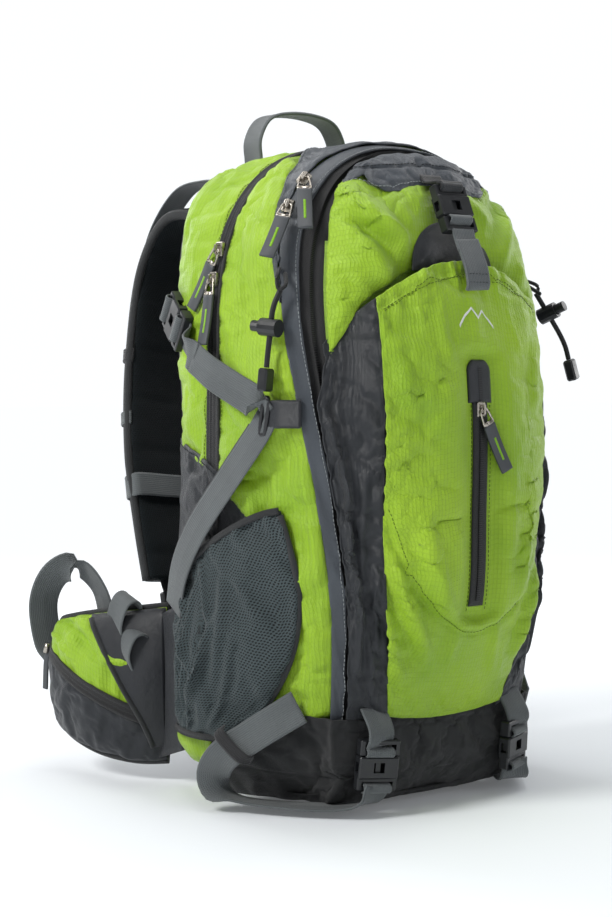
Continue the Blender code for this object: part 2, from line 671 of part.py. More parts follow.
def cord_lock_mesh():
    """Barrel of a cord lock along local Y, with the cord's hole across it along Z and the plunger's bore."""
    barrel = rod_mesh("barrel", 0.0068, 0.0160, -0.0075, 14)
    bore = rod_mesh("bore", 0.0048, 0.0100, 0.0030, 12)
    hole = rod_mesh("hole", 0.0028, 0.0300, -0.0150, 10)
    hole.transform(Matrix.Rotation(math.radians(90), 4, "X"))
    return combined("cord_lock", barrel, [("DIFFERENCE", bore), ("DIFFERENCE", hole)])


def cord_lock_button_mesh():
    return rod_mesh("cord_lock_button", 0.0043, 0.0090, 0.0075, 12)


def cord_end_mesh():
    return box_mesh("cord_end", (-0.0058, -0.0042, -0.0165), (0.0058, 0.0042, 0.0010), 0.0014)


def along_route(route, index, out):
    """A frame at a point of a cord, its local +Z back up the cord."""
    before = Vector(route[max(index - 1, 0)])
    after = Vector(route[min(index + 1, len(route) - 1)])
    return frame_at(route[index], before - after, out)


# ---------------------------------------------------------------- zip sliders and pulls

def slider_mesh():
    """Zip slider over the chain. Local +Y out, +Z the way it closes, with the bail that holds the pull."""
    body = box_mesh("slider", (-0.0042, 0.0, -0.0058), (0.0042, 0.0042, 0.0058), 0.0009)
    bail = box_mesh("bail", (-0.0010, 0.0035, -0.0038), (0.0010, 0.0078, 0.0036), 0.0003)
    eye = box_mesh("eye", (-0.01, 0.0042, -0.0026), (0.01, 0.0066, 0.0022))
    return combined("slider", body, [("UNION", bail), ("DIFFERENCE", eye)])


def pull_mesh():
    """Ribbon pull with its metal link, hanging from the local origin down -Z, its ring round the bail."""
    link = box_mesh("link", (-0.0052, -0.0006, -0.0145), (0.0052, 0.0007, 0.0008), 0.0003)
    ring = box_mesh("ring_hole", (-0.0034, -0.01, -0.0064), (0.0034, 0.01, -0.0008))
    ribbon = box_mesh("ribbon", (-0.0058, -0.0012, -0.0520), (0.0058, 0.0013, -0.0120), 0.0004)
    return combined("pull", link, [("DIFFERENCE", ring), ("UNION", ribbon)])


def zip_set(name, frame, meshes, swing=0.0):
    """A slider and its pull at a frame whose local +Z runs up the zip; swing turns the pull about the way out."""
    slider, pull = meshes
    add_object(name + "_slider", slider, "zip_metal", frame)
    turned = frame @ Matrix.Translation((0, 0.0054, -0.0002)) @ Matrix.Rotation(math.radians(swing), 4, "Y")
    add_object(name + "_pull", pull, "webbing", turned)


def flank_frame(y, z):
    """A frame on the left flank, its +Z nearly upright so that it clears the flank all the way down."""
    return frame_at((-side_x(y, z) - 0.0013, y, z), (0.06, 0, 1), (-1, 0, 0))


def crown_frame(z):
    """A frame on the left front edge, its +Z up the edge and its +Y outwards."""
    up = Vector([b - a for a, b in zip((-edge_width(z - 0.005), curve_at(EDGE_DEPTH, z - 0.005), z - 0.005),
                                       (-edge_width(z + 0.005), curve_at(EDGE_DEPTH, z + 0.005), z + 0.005))])
    return frame_at((-edge_width(z) - 0.0030, curve_at(EDGE_DEPTH, z) - 0.0050, z), up, (-1, -0.75, 0.15))


ZIPS = (("pocket_zip", frame_at((0, -0.1188, 0.312), (0, 0, 1), (0, -1, 0)), 0),
        ("main_zip_upper", flank_frame(Y_ZIP, 0.4365), 35),
        ("main_zip_lower", flank_frame(Y_ZIP, 0.4130), 0),
        ("front_zip_upper", crown_frame(0.488), 34),
        ("front_zip_lower", crown_frame(0.466), 0))


def build():
    clear_scene()
    rear_gusset()
    front_gusset()
    front_panel()
    top_flap()
    stash_pocket()
    base_panel()
    back_panel()
    frame_sheet()
    haul_handle()
    lid_strap()
    female, male = buckle_female_mesh(), buckle_male_mesh()
    ladder, lock, button = ladder_lock_mesh(), cord_lock_mesh(), cord_lock_button_mesh()
    end, slider, pull = cord_end_mesh(), slider_mesh(), pull_mesh()
    buckle_pair(("lid_buckle_female", "lid_buckle_male"), (female, male), LID_BUCKLE)
    for word, side in (("left", -1), ("right", 1)):
        mesh_pocket("mesh_pocket_" + word, side)
        shoulder_strap("shoulder_strap_" + word, side)
        lock_frame = frame_at((side * 0.0965, 0.1405, 0.1440), (-0.04 * side, 0.30, 1), (0, 1, -0.3))
        add_object("ladder_lock_" + word, ladder, "buckle_plastic", lock_frame)
        shoulder_webbing("shoulder_webbing_" + word, side)
        load_lifter("load_lifter_" + word, side)
        sternum_strap("sternum_strap_" + word, side)
        hip_wing("hip_wing_" + word, side)
        hip_strap("hip_strap_" + word, side)
        side_strap("side_strap_" + word, side)
        bottom_strap("bottom_strap_" + word, side)
        buckle_pair(("side_buckle_female_" + word, "side_buckle_male_" + word), (female, male),
                    side_buckle_frame(side))
        buckle_pair(("bottom_buckle_female_" + word, "bottom_buckle_male_" + word), (female, male),
                    bottom_buckle_frame(side))
    hip_frames = [frame_at((-0.1215, 0.2070, 0.0690), (0, 0, 1), (1, 0, 0)),
                  frame_at((0.1215, 0.2070, 0.0840), (0, 0, -1), (-1, 0, 0))]
    add_object("hip_buckle_female", female, "buckle_plastic", hip_frames[0])
    add_object("hip_buckle_male", male, "buckle_plastic", hip_frames[1])
    for word, route, out in (("left", LEFT_CORD, (-0.3, 1, 0)), ("right", RIGHT_CORD, (0.45, -1, 0.2))):
        bungee_cord("bungee_cord_" + word, route)
        frame = along_route(route, LOCK_AT[word], out)
        add_object("cord_lock_" + word, lock, "black_plastic", frame)
        add_object("cord_lock_button_" + word, button, "black_plastic", frame)
        add_object("cord_end_" + word, end, "black_plastic",
                   along_route(route, len(route) - 1, out) @ Matrix.Translation((0, 0, -0.0015)))
    for name, frame, swing in ZIPS:
        zip_set(name, frame, (slider, pull), swing)


build()
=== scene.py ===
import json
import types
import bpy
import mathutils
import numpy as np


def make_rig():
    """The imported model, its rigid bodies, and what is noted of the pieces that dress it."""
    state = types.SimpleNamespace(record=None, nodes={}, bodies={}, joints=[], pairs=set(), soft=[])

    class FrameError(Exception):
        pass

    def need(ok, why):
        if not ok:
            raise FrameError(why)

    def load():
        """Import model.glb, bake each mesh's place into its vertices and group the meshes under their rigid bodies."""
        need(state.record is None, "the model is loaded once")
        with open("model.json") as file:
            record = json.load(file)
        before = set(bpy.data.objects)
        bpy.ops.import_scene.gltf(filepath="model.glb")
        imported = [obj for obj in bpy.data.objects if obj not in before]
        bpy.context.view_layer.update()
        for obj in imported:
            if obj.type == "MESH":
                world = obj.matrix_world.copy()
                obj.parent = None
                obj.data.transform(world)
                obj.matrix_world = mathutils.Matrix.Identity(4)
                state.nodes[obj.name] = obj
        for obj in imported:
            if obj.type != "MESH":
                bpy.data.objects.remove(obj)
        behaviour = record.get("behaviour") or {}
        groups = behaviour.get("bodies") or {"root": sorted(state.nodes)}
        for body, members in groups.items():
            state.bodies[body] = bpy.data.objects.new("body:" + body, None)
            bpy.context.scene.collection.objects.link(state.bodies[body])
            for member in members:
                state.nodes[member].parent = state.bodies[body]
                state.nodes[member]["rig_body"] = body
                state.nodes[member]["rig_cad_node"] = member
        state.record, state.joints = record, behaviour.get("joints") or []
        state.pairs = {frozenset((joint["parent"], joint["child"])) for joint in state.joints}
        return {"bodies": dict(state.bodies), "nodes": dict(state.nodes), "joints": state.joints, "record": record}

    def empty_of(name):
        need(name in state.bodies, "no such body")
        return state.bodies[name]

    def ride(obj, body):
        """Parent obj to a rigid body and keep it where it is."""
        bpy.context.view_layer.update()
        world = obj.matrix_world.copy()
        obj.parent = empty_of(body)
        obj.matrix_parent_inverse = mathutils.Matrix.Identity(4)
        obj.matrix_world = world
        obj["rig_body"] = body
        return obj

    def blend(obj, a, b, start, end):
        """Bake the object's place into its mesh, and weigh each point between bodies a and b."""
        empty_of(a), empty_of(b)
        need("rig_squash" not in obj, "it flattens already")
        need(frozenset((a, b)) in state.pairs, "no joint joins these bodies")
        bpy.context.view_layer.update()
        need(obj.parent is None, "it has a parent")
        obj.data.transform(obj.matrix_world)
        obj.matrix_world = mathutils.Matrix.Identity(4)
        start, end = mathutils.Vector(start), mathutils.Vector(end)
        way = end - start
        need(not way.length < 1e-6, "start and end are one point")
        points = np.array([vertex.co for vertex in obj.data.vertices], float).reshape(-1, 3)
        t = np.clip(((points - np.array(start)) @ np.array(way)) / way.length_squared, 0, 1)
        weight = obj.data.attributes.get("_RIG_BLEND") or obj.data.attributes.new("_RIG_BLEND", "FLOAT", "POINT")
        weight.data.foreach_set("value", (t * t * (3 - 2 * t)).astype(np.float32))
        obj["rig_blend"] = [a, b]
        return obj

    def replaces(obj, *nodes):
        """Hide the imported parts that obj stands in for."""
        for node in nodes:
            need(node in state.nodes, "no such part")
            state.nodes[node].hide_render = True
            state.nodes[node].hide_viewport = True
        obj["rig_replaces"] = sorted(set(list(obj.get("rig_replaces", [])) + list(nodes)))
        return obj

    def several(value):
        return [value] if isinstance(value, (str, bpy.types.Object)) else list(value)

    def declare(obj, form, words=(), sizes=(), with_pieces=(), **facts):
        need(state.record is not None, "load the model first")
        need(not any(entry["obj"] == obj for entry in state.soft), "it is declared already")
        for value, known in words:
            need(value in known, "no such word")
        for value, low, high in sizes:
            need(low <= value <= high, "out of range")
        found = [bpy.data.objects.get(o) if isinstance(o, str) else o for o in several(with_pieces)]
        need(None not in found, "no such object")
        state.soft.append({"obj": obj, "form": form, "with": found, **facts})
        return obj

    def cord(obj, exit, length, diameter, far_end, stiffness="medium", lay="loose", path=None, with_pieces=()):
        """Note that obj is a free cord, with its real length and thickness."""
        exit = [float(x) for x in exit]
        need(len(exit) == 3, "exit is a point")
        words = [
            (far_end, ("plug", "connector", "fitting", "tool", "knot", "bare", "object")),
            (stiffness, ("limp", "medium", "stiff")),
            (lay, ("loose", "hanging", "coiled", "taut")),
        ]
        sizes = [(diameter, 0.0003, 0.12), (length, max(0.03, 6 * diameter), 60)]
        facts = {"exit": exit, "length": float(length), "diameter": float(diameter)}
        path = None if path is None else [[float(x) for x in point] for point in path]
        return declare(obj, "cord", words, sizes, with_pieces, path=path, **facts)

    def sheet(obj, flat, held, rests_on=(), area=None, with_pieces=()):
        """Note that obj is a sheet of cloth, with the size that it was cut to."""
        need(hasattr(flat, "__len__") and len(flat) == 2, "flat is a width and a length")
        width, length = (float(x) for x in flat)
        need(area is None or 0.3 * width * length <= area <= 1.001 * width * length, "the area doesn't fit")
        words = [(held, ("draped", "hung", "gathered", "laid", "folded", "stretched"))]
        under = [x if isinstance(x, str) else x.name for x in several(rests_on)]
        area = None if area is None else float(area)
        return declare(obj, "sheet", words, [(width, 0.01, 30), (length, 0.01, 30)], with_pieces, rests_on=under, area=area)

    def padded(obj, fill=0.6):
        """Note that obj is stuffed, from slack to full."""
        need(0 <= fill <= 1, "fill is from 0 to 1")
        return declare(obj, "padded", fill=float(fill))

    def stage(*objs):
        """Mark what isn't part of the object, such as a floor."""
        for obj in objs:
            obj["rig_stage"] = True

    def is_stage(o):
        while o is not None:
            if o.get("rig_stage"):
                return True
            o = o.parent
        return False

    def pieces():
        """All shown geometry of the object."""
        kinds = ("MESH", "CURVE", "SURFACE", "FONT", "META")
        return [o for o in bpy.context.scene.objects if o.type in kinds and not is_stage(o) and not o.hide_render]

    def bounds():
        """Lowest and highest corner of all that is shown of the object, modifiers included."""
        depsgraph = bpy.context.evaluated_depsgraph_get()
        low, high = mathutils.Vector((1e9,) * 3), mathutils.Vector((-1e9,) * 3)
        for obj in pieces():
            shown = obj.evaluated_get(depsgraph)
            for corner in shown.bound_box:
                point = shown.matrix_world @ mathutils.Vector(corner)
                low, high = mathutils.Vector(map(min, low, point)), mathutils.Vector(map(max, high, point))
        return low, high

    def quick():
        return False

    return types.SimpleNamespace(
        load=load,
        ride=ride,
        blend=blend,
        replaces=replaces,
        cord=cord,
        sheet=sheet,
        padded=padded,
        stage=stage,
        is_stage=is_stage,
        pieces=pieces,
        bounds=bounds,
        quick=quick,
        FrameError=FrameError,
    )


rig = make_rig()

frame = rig.load()

import json
import math

import bmesh
import bpy
import numpy as np
from mathutils import Matrix, Vector
from mathutils.bvhtree import BVHTree

CAD_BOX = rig.bounds()
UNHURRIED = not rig.quick()

# ------------------------------------------------------------------ the bag's dimensions, as in the CAD
Y_BACK, Y_ZIP = 0.098, 0.037
Z_FLOOR, Z_CORNER, Z_SHOULDER = 0.0125, 0.050, 0.360
SIDE_STATIONS = (0.050, 0.110, 0.155, 0.236, 0.317, 0.360)
BACK_WIDTH = dict(zip(SIDE_STATIONS, (0.128, 0.130, 0.128, 0.123, 0.123, 0.126)))
ZIP_WIDTH = dict(zip(SIDE_STATIONS, (0.137, 0.140, 0.140, 0.139, 0.138, 0.137)))
EDGE_WIDTH = dict(zip(SIDE_STATIONS, (0.098, 0.103, 0.107, 0.116, 0.128, 0.132)))
EDGE_DEPTH = {0.012: -0.036, 0.05: -0.055, 0.11: -0.067, 0.155: -0.071, 0.236: -0.066, 0.317: -0.056,
              0.36: -0.048, 0.40: -0.039, 0.44: -0.027, 0.48: -0.019, 0.521: -0.021}
PANEL_DEPTH = {0.066: -0.074, 0.11: -0.083, 0.155: -0.091, 0.236: -0.095, 0.317: -0.094, 0.36: -0.091,
               0.40: -0.087, 0.43: -0.083, 0.46: -0.074, 0.485: -0.063, 0.503: -0.050, 0.519: -0.030}
POCKET_DEPTH = {0.066: -0.080, 0.11: -0.099, 0.155: -0.113, 0.236: -0.118, 0.317: -0.118, 0.36: -0.114,
                0.40: -0.107, 0.43: -0.101}
BACK_TURN, ZIP_TURN, BOTTOM_TURN = 4.0, 2.4, 2.6
PANEL_TURN, POCKET_TURN, GUSSET_TURN = 4.2, 3.0, 1.6
TOP_BACK, TOP_ZIP, TOP_EDGE = 0.511, 0.522, 0.521


def curve(table):
    """A function giving a smooth value between the stations of a {height: value} table."""
    keys = np.array(sorted(table))
    values = np.array([table[k] for k in keys])
    slopes = np.gradient(values, keys)
    dense = np.linspace(keys[0], keys[-1], 500)
    i = np.clip(np.searchsorted(keys, dense, side="right") - 1, 0, len(keys) - 2)
    step = keys[i + 1] - keys[i]
    t = (dense - keys[i]) / step
    found = (values[i] * (1 + 2 * t) * (1 - t) ** 2 + slopes[i] * step * t * (1 - t) ** 2
             + values[i + 1] * t * t * (3 - 2 * t) - slopes[i + 1] * step * t * t * (1 - t))
    return lambda z: np.interp(z, dense, found)


edge_depth, panel_depth, pocket_depth = curve(EDGE_DEPTH), curve(PANEL_DEPTH), curve(POCKET_DEPTH)


def half_width(table, turn, top, z):
    """Half width of one of the bag's outlines at height z."""
    z = np.asarray(z, float)
    low = np.clip((Z_CORNER - z) / (Z_CORNER - Z_FLOOR), 0, 1)
    high = np.clip((z - Z_SHOULDER) / (top - Z_SHOULDER), 0, 1)
    side = curve(table)(np.clip(z, Z_CORNER, Z_SHOULDER))
    return side * (1 - low ** BOTTOM_TURN) ** (1 / BOTTOM_TURN) * (1 - high ** turn) ** (1 / turn)


def edge_width(z):
    """Half width of the bag's front edge at height z."""
    return half_width(EDGE_WIDTH, ZIP_TURN, TOP_EDGE, z)


def panel_y(x, z):
    """Depth of the front panel's face."""
    edge, middle = edge_depth(z) - 0.0045, panel_depth(z)
    share = np.clip(np.abs(x) / np.maximum(edge_width(z), 1e-4), 0, 1)
    return middle + (edge - middle) * share ** PANEL_TURN


def pocket_y(x, z):
    """Depth of the stash pocket's face, which meets the front panel at its sides."""
    edge_x = 0.87 * edge_width(z)
    edge, middle = panel_y(edge_x, z) - 0.0045, pocket_depth(z)
    return middle + (edge - middle) * np.clip(np.abs(x) / edge_x, 0, 1) ** POCKET_TURN


def quarter(width, start, end, turn, count=300):
    """Evenly spaced (x, z) from (width, start) to (0, end) along a superellipse."""
    angle = np.linspace(0, math.pi / 2, 4000)
    x = width * np.cos(angle) ** (2 / turn)
    z = start + (end - start) * np.sin(angle) ** (2 / turn)
    x[-1] = 0
    run = np.concatenate([[0], np.cumsum(np.hypot(np.diff(x), np.diff(z)))])
    even = np.linspace(0, run[-1], count)
    return np.interp(even, run, x), np.interp(even, run, z)


BOTTOM_SHARE, SIDE_SHARE = 0.17, 0.60  # how much of half a seam loop is its bottom, and its bottom and side


def loop(table, turn, top):
    """A function from t to (x, z): the bottom at 0, then up the right side to 1 or the left side to -1."""
    low_x, low_z = quarter(table[SIDE_STATIONS[0]], Z_CORNER, Z_FLOOR, BOTTOM_TURN)
    side_z = np.linspace(Z_CORNER, Z_SHOULDER, 300)
    top_x, top_z = quarter(table[SIDE_STATIONS[-1]], Z_SHOULDER, top, turn)
    s = np.concatenate([np.linspace(0, BOTTOM_SHARE, 300), np.linspace(BOTTOM_SHARE, SIDE_SHARE, 300)[1:],
                        np.linspace(SIDE_SHARE, 1, 300)[1:]])
    x = np.concatenate([low_x[::-1], curve(table)(side_z)[1:], top_x[1:]])
    z = np.concatenate([low_z[::-1], side_z[1:], top_z[1:]])
    return lambda t: (np.sign(t) * np.interp(np.abs(t), s, x), np.interp(np.abs(t), s, z))


back_loop = loop(BACK_WIDTH, BACK_TURN, TOP_BACK)
zip_loop = loop(ZIP_WIDTH, ZIP_TURN, TOP_ZIP)
edge_loop = loop(EDGE_WIDTH, ZIP_TURN, TOP_EDGE)


def gusset(t, d):
    """A point of the side: d is -1 at the front edge, 0 at the main zip, 1 at the back seam."""
    t, d = np.broadcast_arrays(np.asarray(t, float), np.asarray(d, float))
    bx, bz = zip_loop(t)
    fx, fz = edge_loop(t)
    rx, rz = back_loop(t)
    bulge = np.abs(d) ** GUSSET_TURN
    front = d < 0
    tx, tz = np.where(front, fx, rx), np.where(front, fz, rz)
    far_y = np.where(front, edge_depth(fz), Y_BACK)
    y = Y_ZIP + (far_y - Y_ZIP) * np.abs(d)
    return np.stack([bx + (tx - bx) * bulge, y, bz + (tz - bz) * bulge], -1)


def inset(t, width):
    """(x, z) of the front edge's outline, moved inwards by width in the XZ plane."""
    step = 0.004
    x, z = edge_loop(t)
    x1, z1 = edge_loop(np.clip(np.abs(t) - step, 0, 1) * np.sign(t))
    x2, z2 = edge_loop(np.clip(np.abs(t) + step, 0, 1) * np.sign(t))
    along_x, along_z = x2 - x1, z2 - z1
    size = np.maximum(np.hypot(along_x, along_z), 1e-9)
    side = np.sign(t)
    return x - side * along_z / size * width, z + side * along_x / size * width


# ------------------------------------------------------------------ noise and folds

def value_noise(u, v, scale, seed):
    """Smooth noise in [-1, 1] over a plane, with features about scale across."""
    table = np.random.default_rng(seed).uniform(-1, 1, (64, 64))
    a, b = u / scale, v / scale
    i, j = np.floor(a).astype(int), np.floor(b).astype(int)
    f, g = a - i, b - j
    f, g = f * f * f * (f * (f * 6 - 15) + 10), g * g * g * (g * (g * 6 - 15) + 10)
    corner = [table[(i + p) % 64, (j + q) % 64] for p in (0, 1) for q in (0, 1)]
    return (corner[0] * (1 - f) + corner[2] * f) * (1 - g) + (corner[1] * (1 - f) + corner[3] * f) * g


def crumple(u, v, scale, seed):
    """Creased noise in about [0, 1]: soft hollows between narrow ridges, as in thin nylon."""
    warp = value_noise(u, v, scale * 1.7, seed + 1) * scale * 0.6
    total = 1 - np.abs(value_noise(u + warp, v - warp, scale, seed + 2))
    total = total + 0.5 * (1 - np.abs(value_noise(u - warp, v + warp, scale * 0.5, seed + 3)))
    return (total / 1.5) ** 2


def folds(u, v, lines):
    """Sum of soft ridges along segments: each is (u1, v1, u2, v2, half width, height)."""
    total = np.zeros_like(u)
    for u1, v1, u2, v2, wide, high in lines:
        du, dv = u2 - u1, v2 - v1
        size = math.hypot(du, dv)
        along = ((u - u1) * du + (v - v1) * dv) / size ** 2
        across = ((u - u1) * dv - (v - v1) * du) / size
        bent = across + 0.12 * size * (along - 0.5) ** 2
        fade = np.clip(1 - np.abs(2 * along - 1) ** 3, 0, 1) * ((along > 0) & (along < 1))
        hollow = 0.45 * np.exp(-((bent - 1.9 * wide) / wide) ** 2)
        total += high * fade * (np.exp(-(bent / wide) ** 2) - hollow)
    return total


# ------------------------------------------------------------------ meshes

def finish_object(name, mesh, stuff, body, smooth=True):
    """An object for a mesh, with its material, smooth shading and body."""
    mesh.materials.append(stuff)
    if smooth:
        mesh.polygons.foreach_set("use_smooth", [True] * len(mesh.polygons))
    obj = bpy.data.objects.new(name, mesh)
    bpy.context.scene.collection.objects.link(obj)
    if body:
        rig.ride(obj, body)
    return obj


def plain_object(name, points, faces, stuff, body, smooth=True, uv=None):
    mesh = bpy.data.meshes.new(name)
    mesh.from_pydata([tuple(p) for p in points], [], faces)
    bm = bmesh.new()
    bm.from_mesh(mesh)
    bmesh.ops.recalc_face_normals(bm, faces=bm.faces)
    bm.to_mesh(mesh)
    bm.free()
    if uv is not None:
        write_uv(mesh, np.asarray(uv))
    return finish_object(name, mesh, stuff, body, smooth)


def write_uv(mesh, uv):
    """Cloth coordinates in metres, one for each vertex."""
    layer = mesh.uv_layers.new(name="cloth")
    index = np.empty(len(mesh.loops), int)
    mesh.loops.foreach_get("vertex_index", index)
    layer.data.foreach_set("uv", uv[index].astype(np.float32).ravel())


def grid_normals(points):
    """Unit normals of a grid of points, row direction times column direction."""
    rows = np.gradient(points, axis=0)
    columns = np.gradient(points, axis=1)
    normal = np.cross(columns, rows)
    return normal / np.maximum(np.linalg.norm(normal, axis=-1, keepdims=True), 1e-12)


def run_length(points, axis):
    """The length run so far at each point of a grid, along one of its directions."""
    steps = np.linalg.norm(np.diff(points, axis=axis), axis=-1)
    pad = [(0, 0), (0, 0)]
    pad[axis] = (1, 0)
    return np.pad(np.cumsum(steps, axis=axis), pad)


def outward(points, normal, centre=(0.0, 0.02, 0.25)):
    """The normals, turned to face away from the middle of the bag."""
    away = points - np.array(centre)
    flip = np.sign((normal * away).sum(-1).mean())
    return normal * (flip if flip else 1)


def sheet_object(name, points, stuff, body, thickness=0.0012, uv_turn=False):
    """A cloth piece from a grid of points, with its cloth coordinates and a thickness towards the inside."""
    rows, columns = points.shape[:2]
    normal = outward(points, grid_normals(points))
    back = points - normal * thickness
    u, v = run_length(points, 1), run_length(points, 0)
    u, v = u - u[:, columns // 2:columns // 2 + 1], v
    index = np.arange(rows * columns).reshape(rows, columns)
    a, b, c, d = index[:-1, :-1], index[:-1, 1:], index[1:, 1:], index[1:, :-1]
    front_faces = np.stack([a, b, c, d], -1).reshape(-1, 4)
    offset = rows * columns
    back_faces = front_faces[:, ::-1] + offset
    rim = np.concatenate([index[0, :], index[1:, -1], index[-1, -2::-1], index[-2:0:-1, 0]])
    following = np.roll(rim, -1)
    rim_faces = np.stack([rim, rim + offset, following + offset, following], -1)
    faces = np.concatenate([front_faces, back_faces, rim_faces])
    vertices = np.concatenate([points.reshape(-1, 3), back.reshape(-1, 3)])
    mesh = bpy.data.meshes.new(name)
    mesh.from_pydata(vertices.tolist(), [], faces.tolist())
    cloth = np.stack([v, u] if uv_turn else [u, v], -1).reshape(-1, 2)
    write_uv(mesh, np.concatenate([cloth, cloth]))
    mesh.update()
    first = mesh.polygons[0].normal
    if Vector(normal[0, 0]).dot(first) < 0:
        mesh.flip_normals()
    return finish_object(name, mesh, stuff, body)


def smooth_path(points, samples):
    """Points spread along a Catmull-Rom curve through the given ones, evenly by length."""
    points = np.asarray(points, float)
    ends = np.concatenate([[2 * points[0] - points[1]], points, [2 * points[-1] - points[-2]]])
    fine = []
    for k in range(len(points) - 1):
        a, b, c, d = ends[k:k + 4]
        for t in np.linspace(0, 1, 24, endpoint=False):
            fine.append(0.5 * (2 * b + (c - a) * t + (2 * a - 5 * b + 4 * c - d) * t * t
                               + (3 * b - a - 3 * c + d) * t ** 3))
    fine.append(points[-1])
    fine = np.array(fine)
    run = np.concatenate([[0], np.cumsum(np.linalg.norm(np.diff(fine, axis=0), axis=1))])
    even = np.linspace(0, run[-1], samples + 1)
    return np.stack([np.interp(even, run, fine[:, i]) for i in range(fine.shape[1])], -1)


def hand(side):
    """The word for a side: -1 is left and 1 is right."""
    return "left" if side < 0 else "right"


def shares(rows, columns):
    """For each point of a grid, its share of the way across and its share of the way up."""
    return np.meshgrid(np.linspace(0, 1, columns), np.linspace(0, 1, rows))


def unit(vectors):
    """Vectors brought to length one."""
    return vectors / np.maximum(np.linalg.norm(vectors, axis=-1, keepdims=True), 1e-12)


def sweep(name, line, sideways, profile, stuff, body, closed=False, caps=True, scale=None):
    """A profile of (across, out) points carried along a line. sideways is the line's across direction."""
    line = np.asarray(line, float)
    count = len(line)
    along = unit(np.roll(line, -1, 0) - np.roll(line, 1, 0) if closed else np.gradient(line, axis=0))
    side = np.broadcast_to(np.asarray(sideways, float), line.shape)
    side = unit(side - along * (side * along).sum(-1, keepdims=True))
    out = np.cross(along, side)
    profile = np.asarray(profile, float)
    size = np.ones(count) if scale is None else np.asarray(scale)
    points = (line[:, None] + side[:, None] * (profile[None, :, :1] * size[:, None, None])
              + out[:, None] * (profile[None, :, 1:] * size[:, None, None]))
    wide = len(profile)
    run = np.concatenate([[0], np.cumsum(np.linalg.norm(np.diff(line, axis=0), axis=1))])
    uv = np.stack([np.broadcast_to(profile[None, :, 0], (count, wide)),
                   np.broadcast_to(run[:, None], (count, wide))], -1).reshape(-1, 2)
    index = np.arange(count * wide).reshape(count, wide)
    if closed:
        index = np.concatenate([index, index[:1]])
    a, b = index[:-1], index[1:]
    faces = np.stack([a, np.roll(a, -1, 1), np.roll(b, -1, 1), b], -1).reshape(-1, 4).tolist()
    if caps and not closed:
        faces += [tuple(index[0]), tuple(index[-1][::-1])]
    return plain_object(name, points.reshape(-1, 3), faces, stuff, body, uv=uv)


def round_profile(radius, sides=8):
    """A circle, as a profile for sweep."""
    angles = np.arange(sides) / sides * 2 * math.pi
    return np.stack([np.cos(angles), np.sin(angles)], -1) * radius


def web_profile(width, thick):
    """The section of a webbing strap: a flat band with rounded, slightly thicker edges."""
    w, t = width / 2, thick / 2
    half = [(-w, 0), (-w + 0.0006, t * 0.85), (-w + 0.0016, t * 1.12), (-w + 0.0034, t * 0.9),
            (0, t * 0.95), (w - 0.0034, t * 0.9), (w - 0.0016, t * 1.12), (w - 0.0006, t * 0.85), (w, 0)]
    return half + [(x, -y) for x, y in half[-2:0:-1]]


def tube(name, line, radius, stuff, body, sides=8, closed=False):
    """A round cord or rod along a line."""
    return sweep(name, line, (0.13, 0.31, 0.94), round_profile(radius, sides), stuff, body, closed=closed)


STITCHES = {}


def stitch(line, normals, body, colour="pale", length=0.0023, pitch=0.0034, radius=0.00028):
    """Adds a row of stitches along a line on a surface, to be made as one piece for each body and colour."""
    line, normals = np.asarray(line, float), np.asarray(normals, float)
    run = np.concatenate([[0], np.cumsum(np.linalg.norm(np.diff(line, axis=0), axis=1))])
    starts = np.arange(0.001, run[-1] - length, pitch)
    for s in starts:
        a = np.array([np.interp(s, run, line[:, i]) for i in range(3)])
        b = np.array([np.interp(s + length, run, line[:, i]) for i in range(3)])
        n = unit(np.array([np.interp(s, run, normals[:, i]) for i in range(3)]))
        STITCHES.setdefault((body, colour), []).append((a, b, n, radius))


def make_stitches(materials):
    """One mesh for each body and thread, holding all the stitches kept for it."""
    for (body, colour), rows in STITCHES.items():
        points, faces = [], []
        for a, b, n, radius in rows:
            side = unit(np.cross(b - a, n)) * radius
            lift = n * radius
            dip = n * radius * 0.9
            mid = (a + b) / 2
            start = len(points)
            points += [a - side - dip, a + side - dip, a + lift * 0.3, mid - side, mid + side,
                       mid + lift * 1.6, b - side - dip, b + side - dip, b + lift * 0.3]
            for k in (0, 3):
                for p, q in ((0, 1), (1, 2), (2, 0)):
                    faces.append((start + k + p, start + k + q, start + k + 3 + q, start + k + 3 + p))
            faces += [(start, start + 2, start + 1), (start + 6, start + 7, start + 8)]
        plain_object(f"stitches_{colour}_{body}", points, faces, materials[colour], body)


# ------------------------------------------------------------------ materials

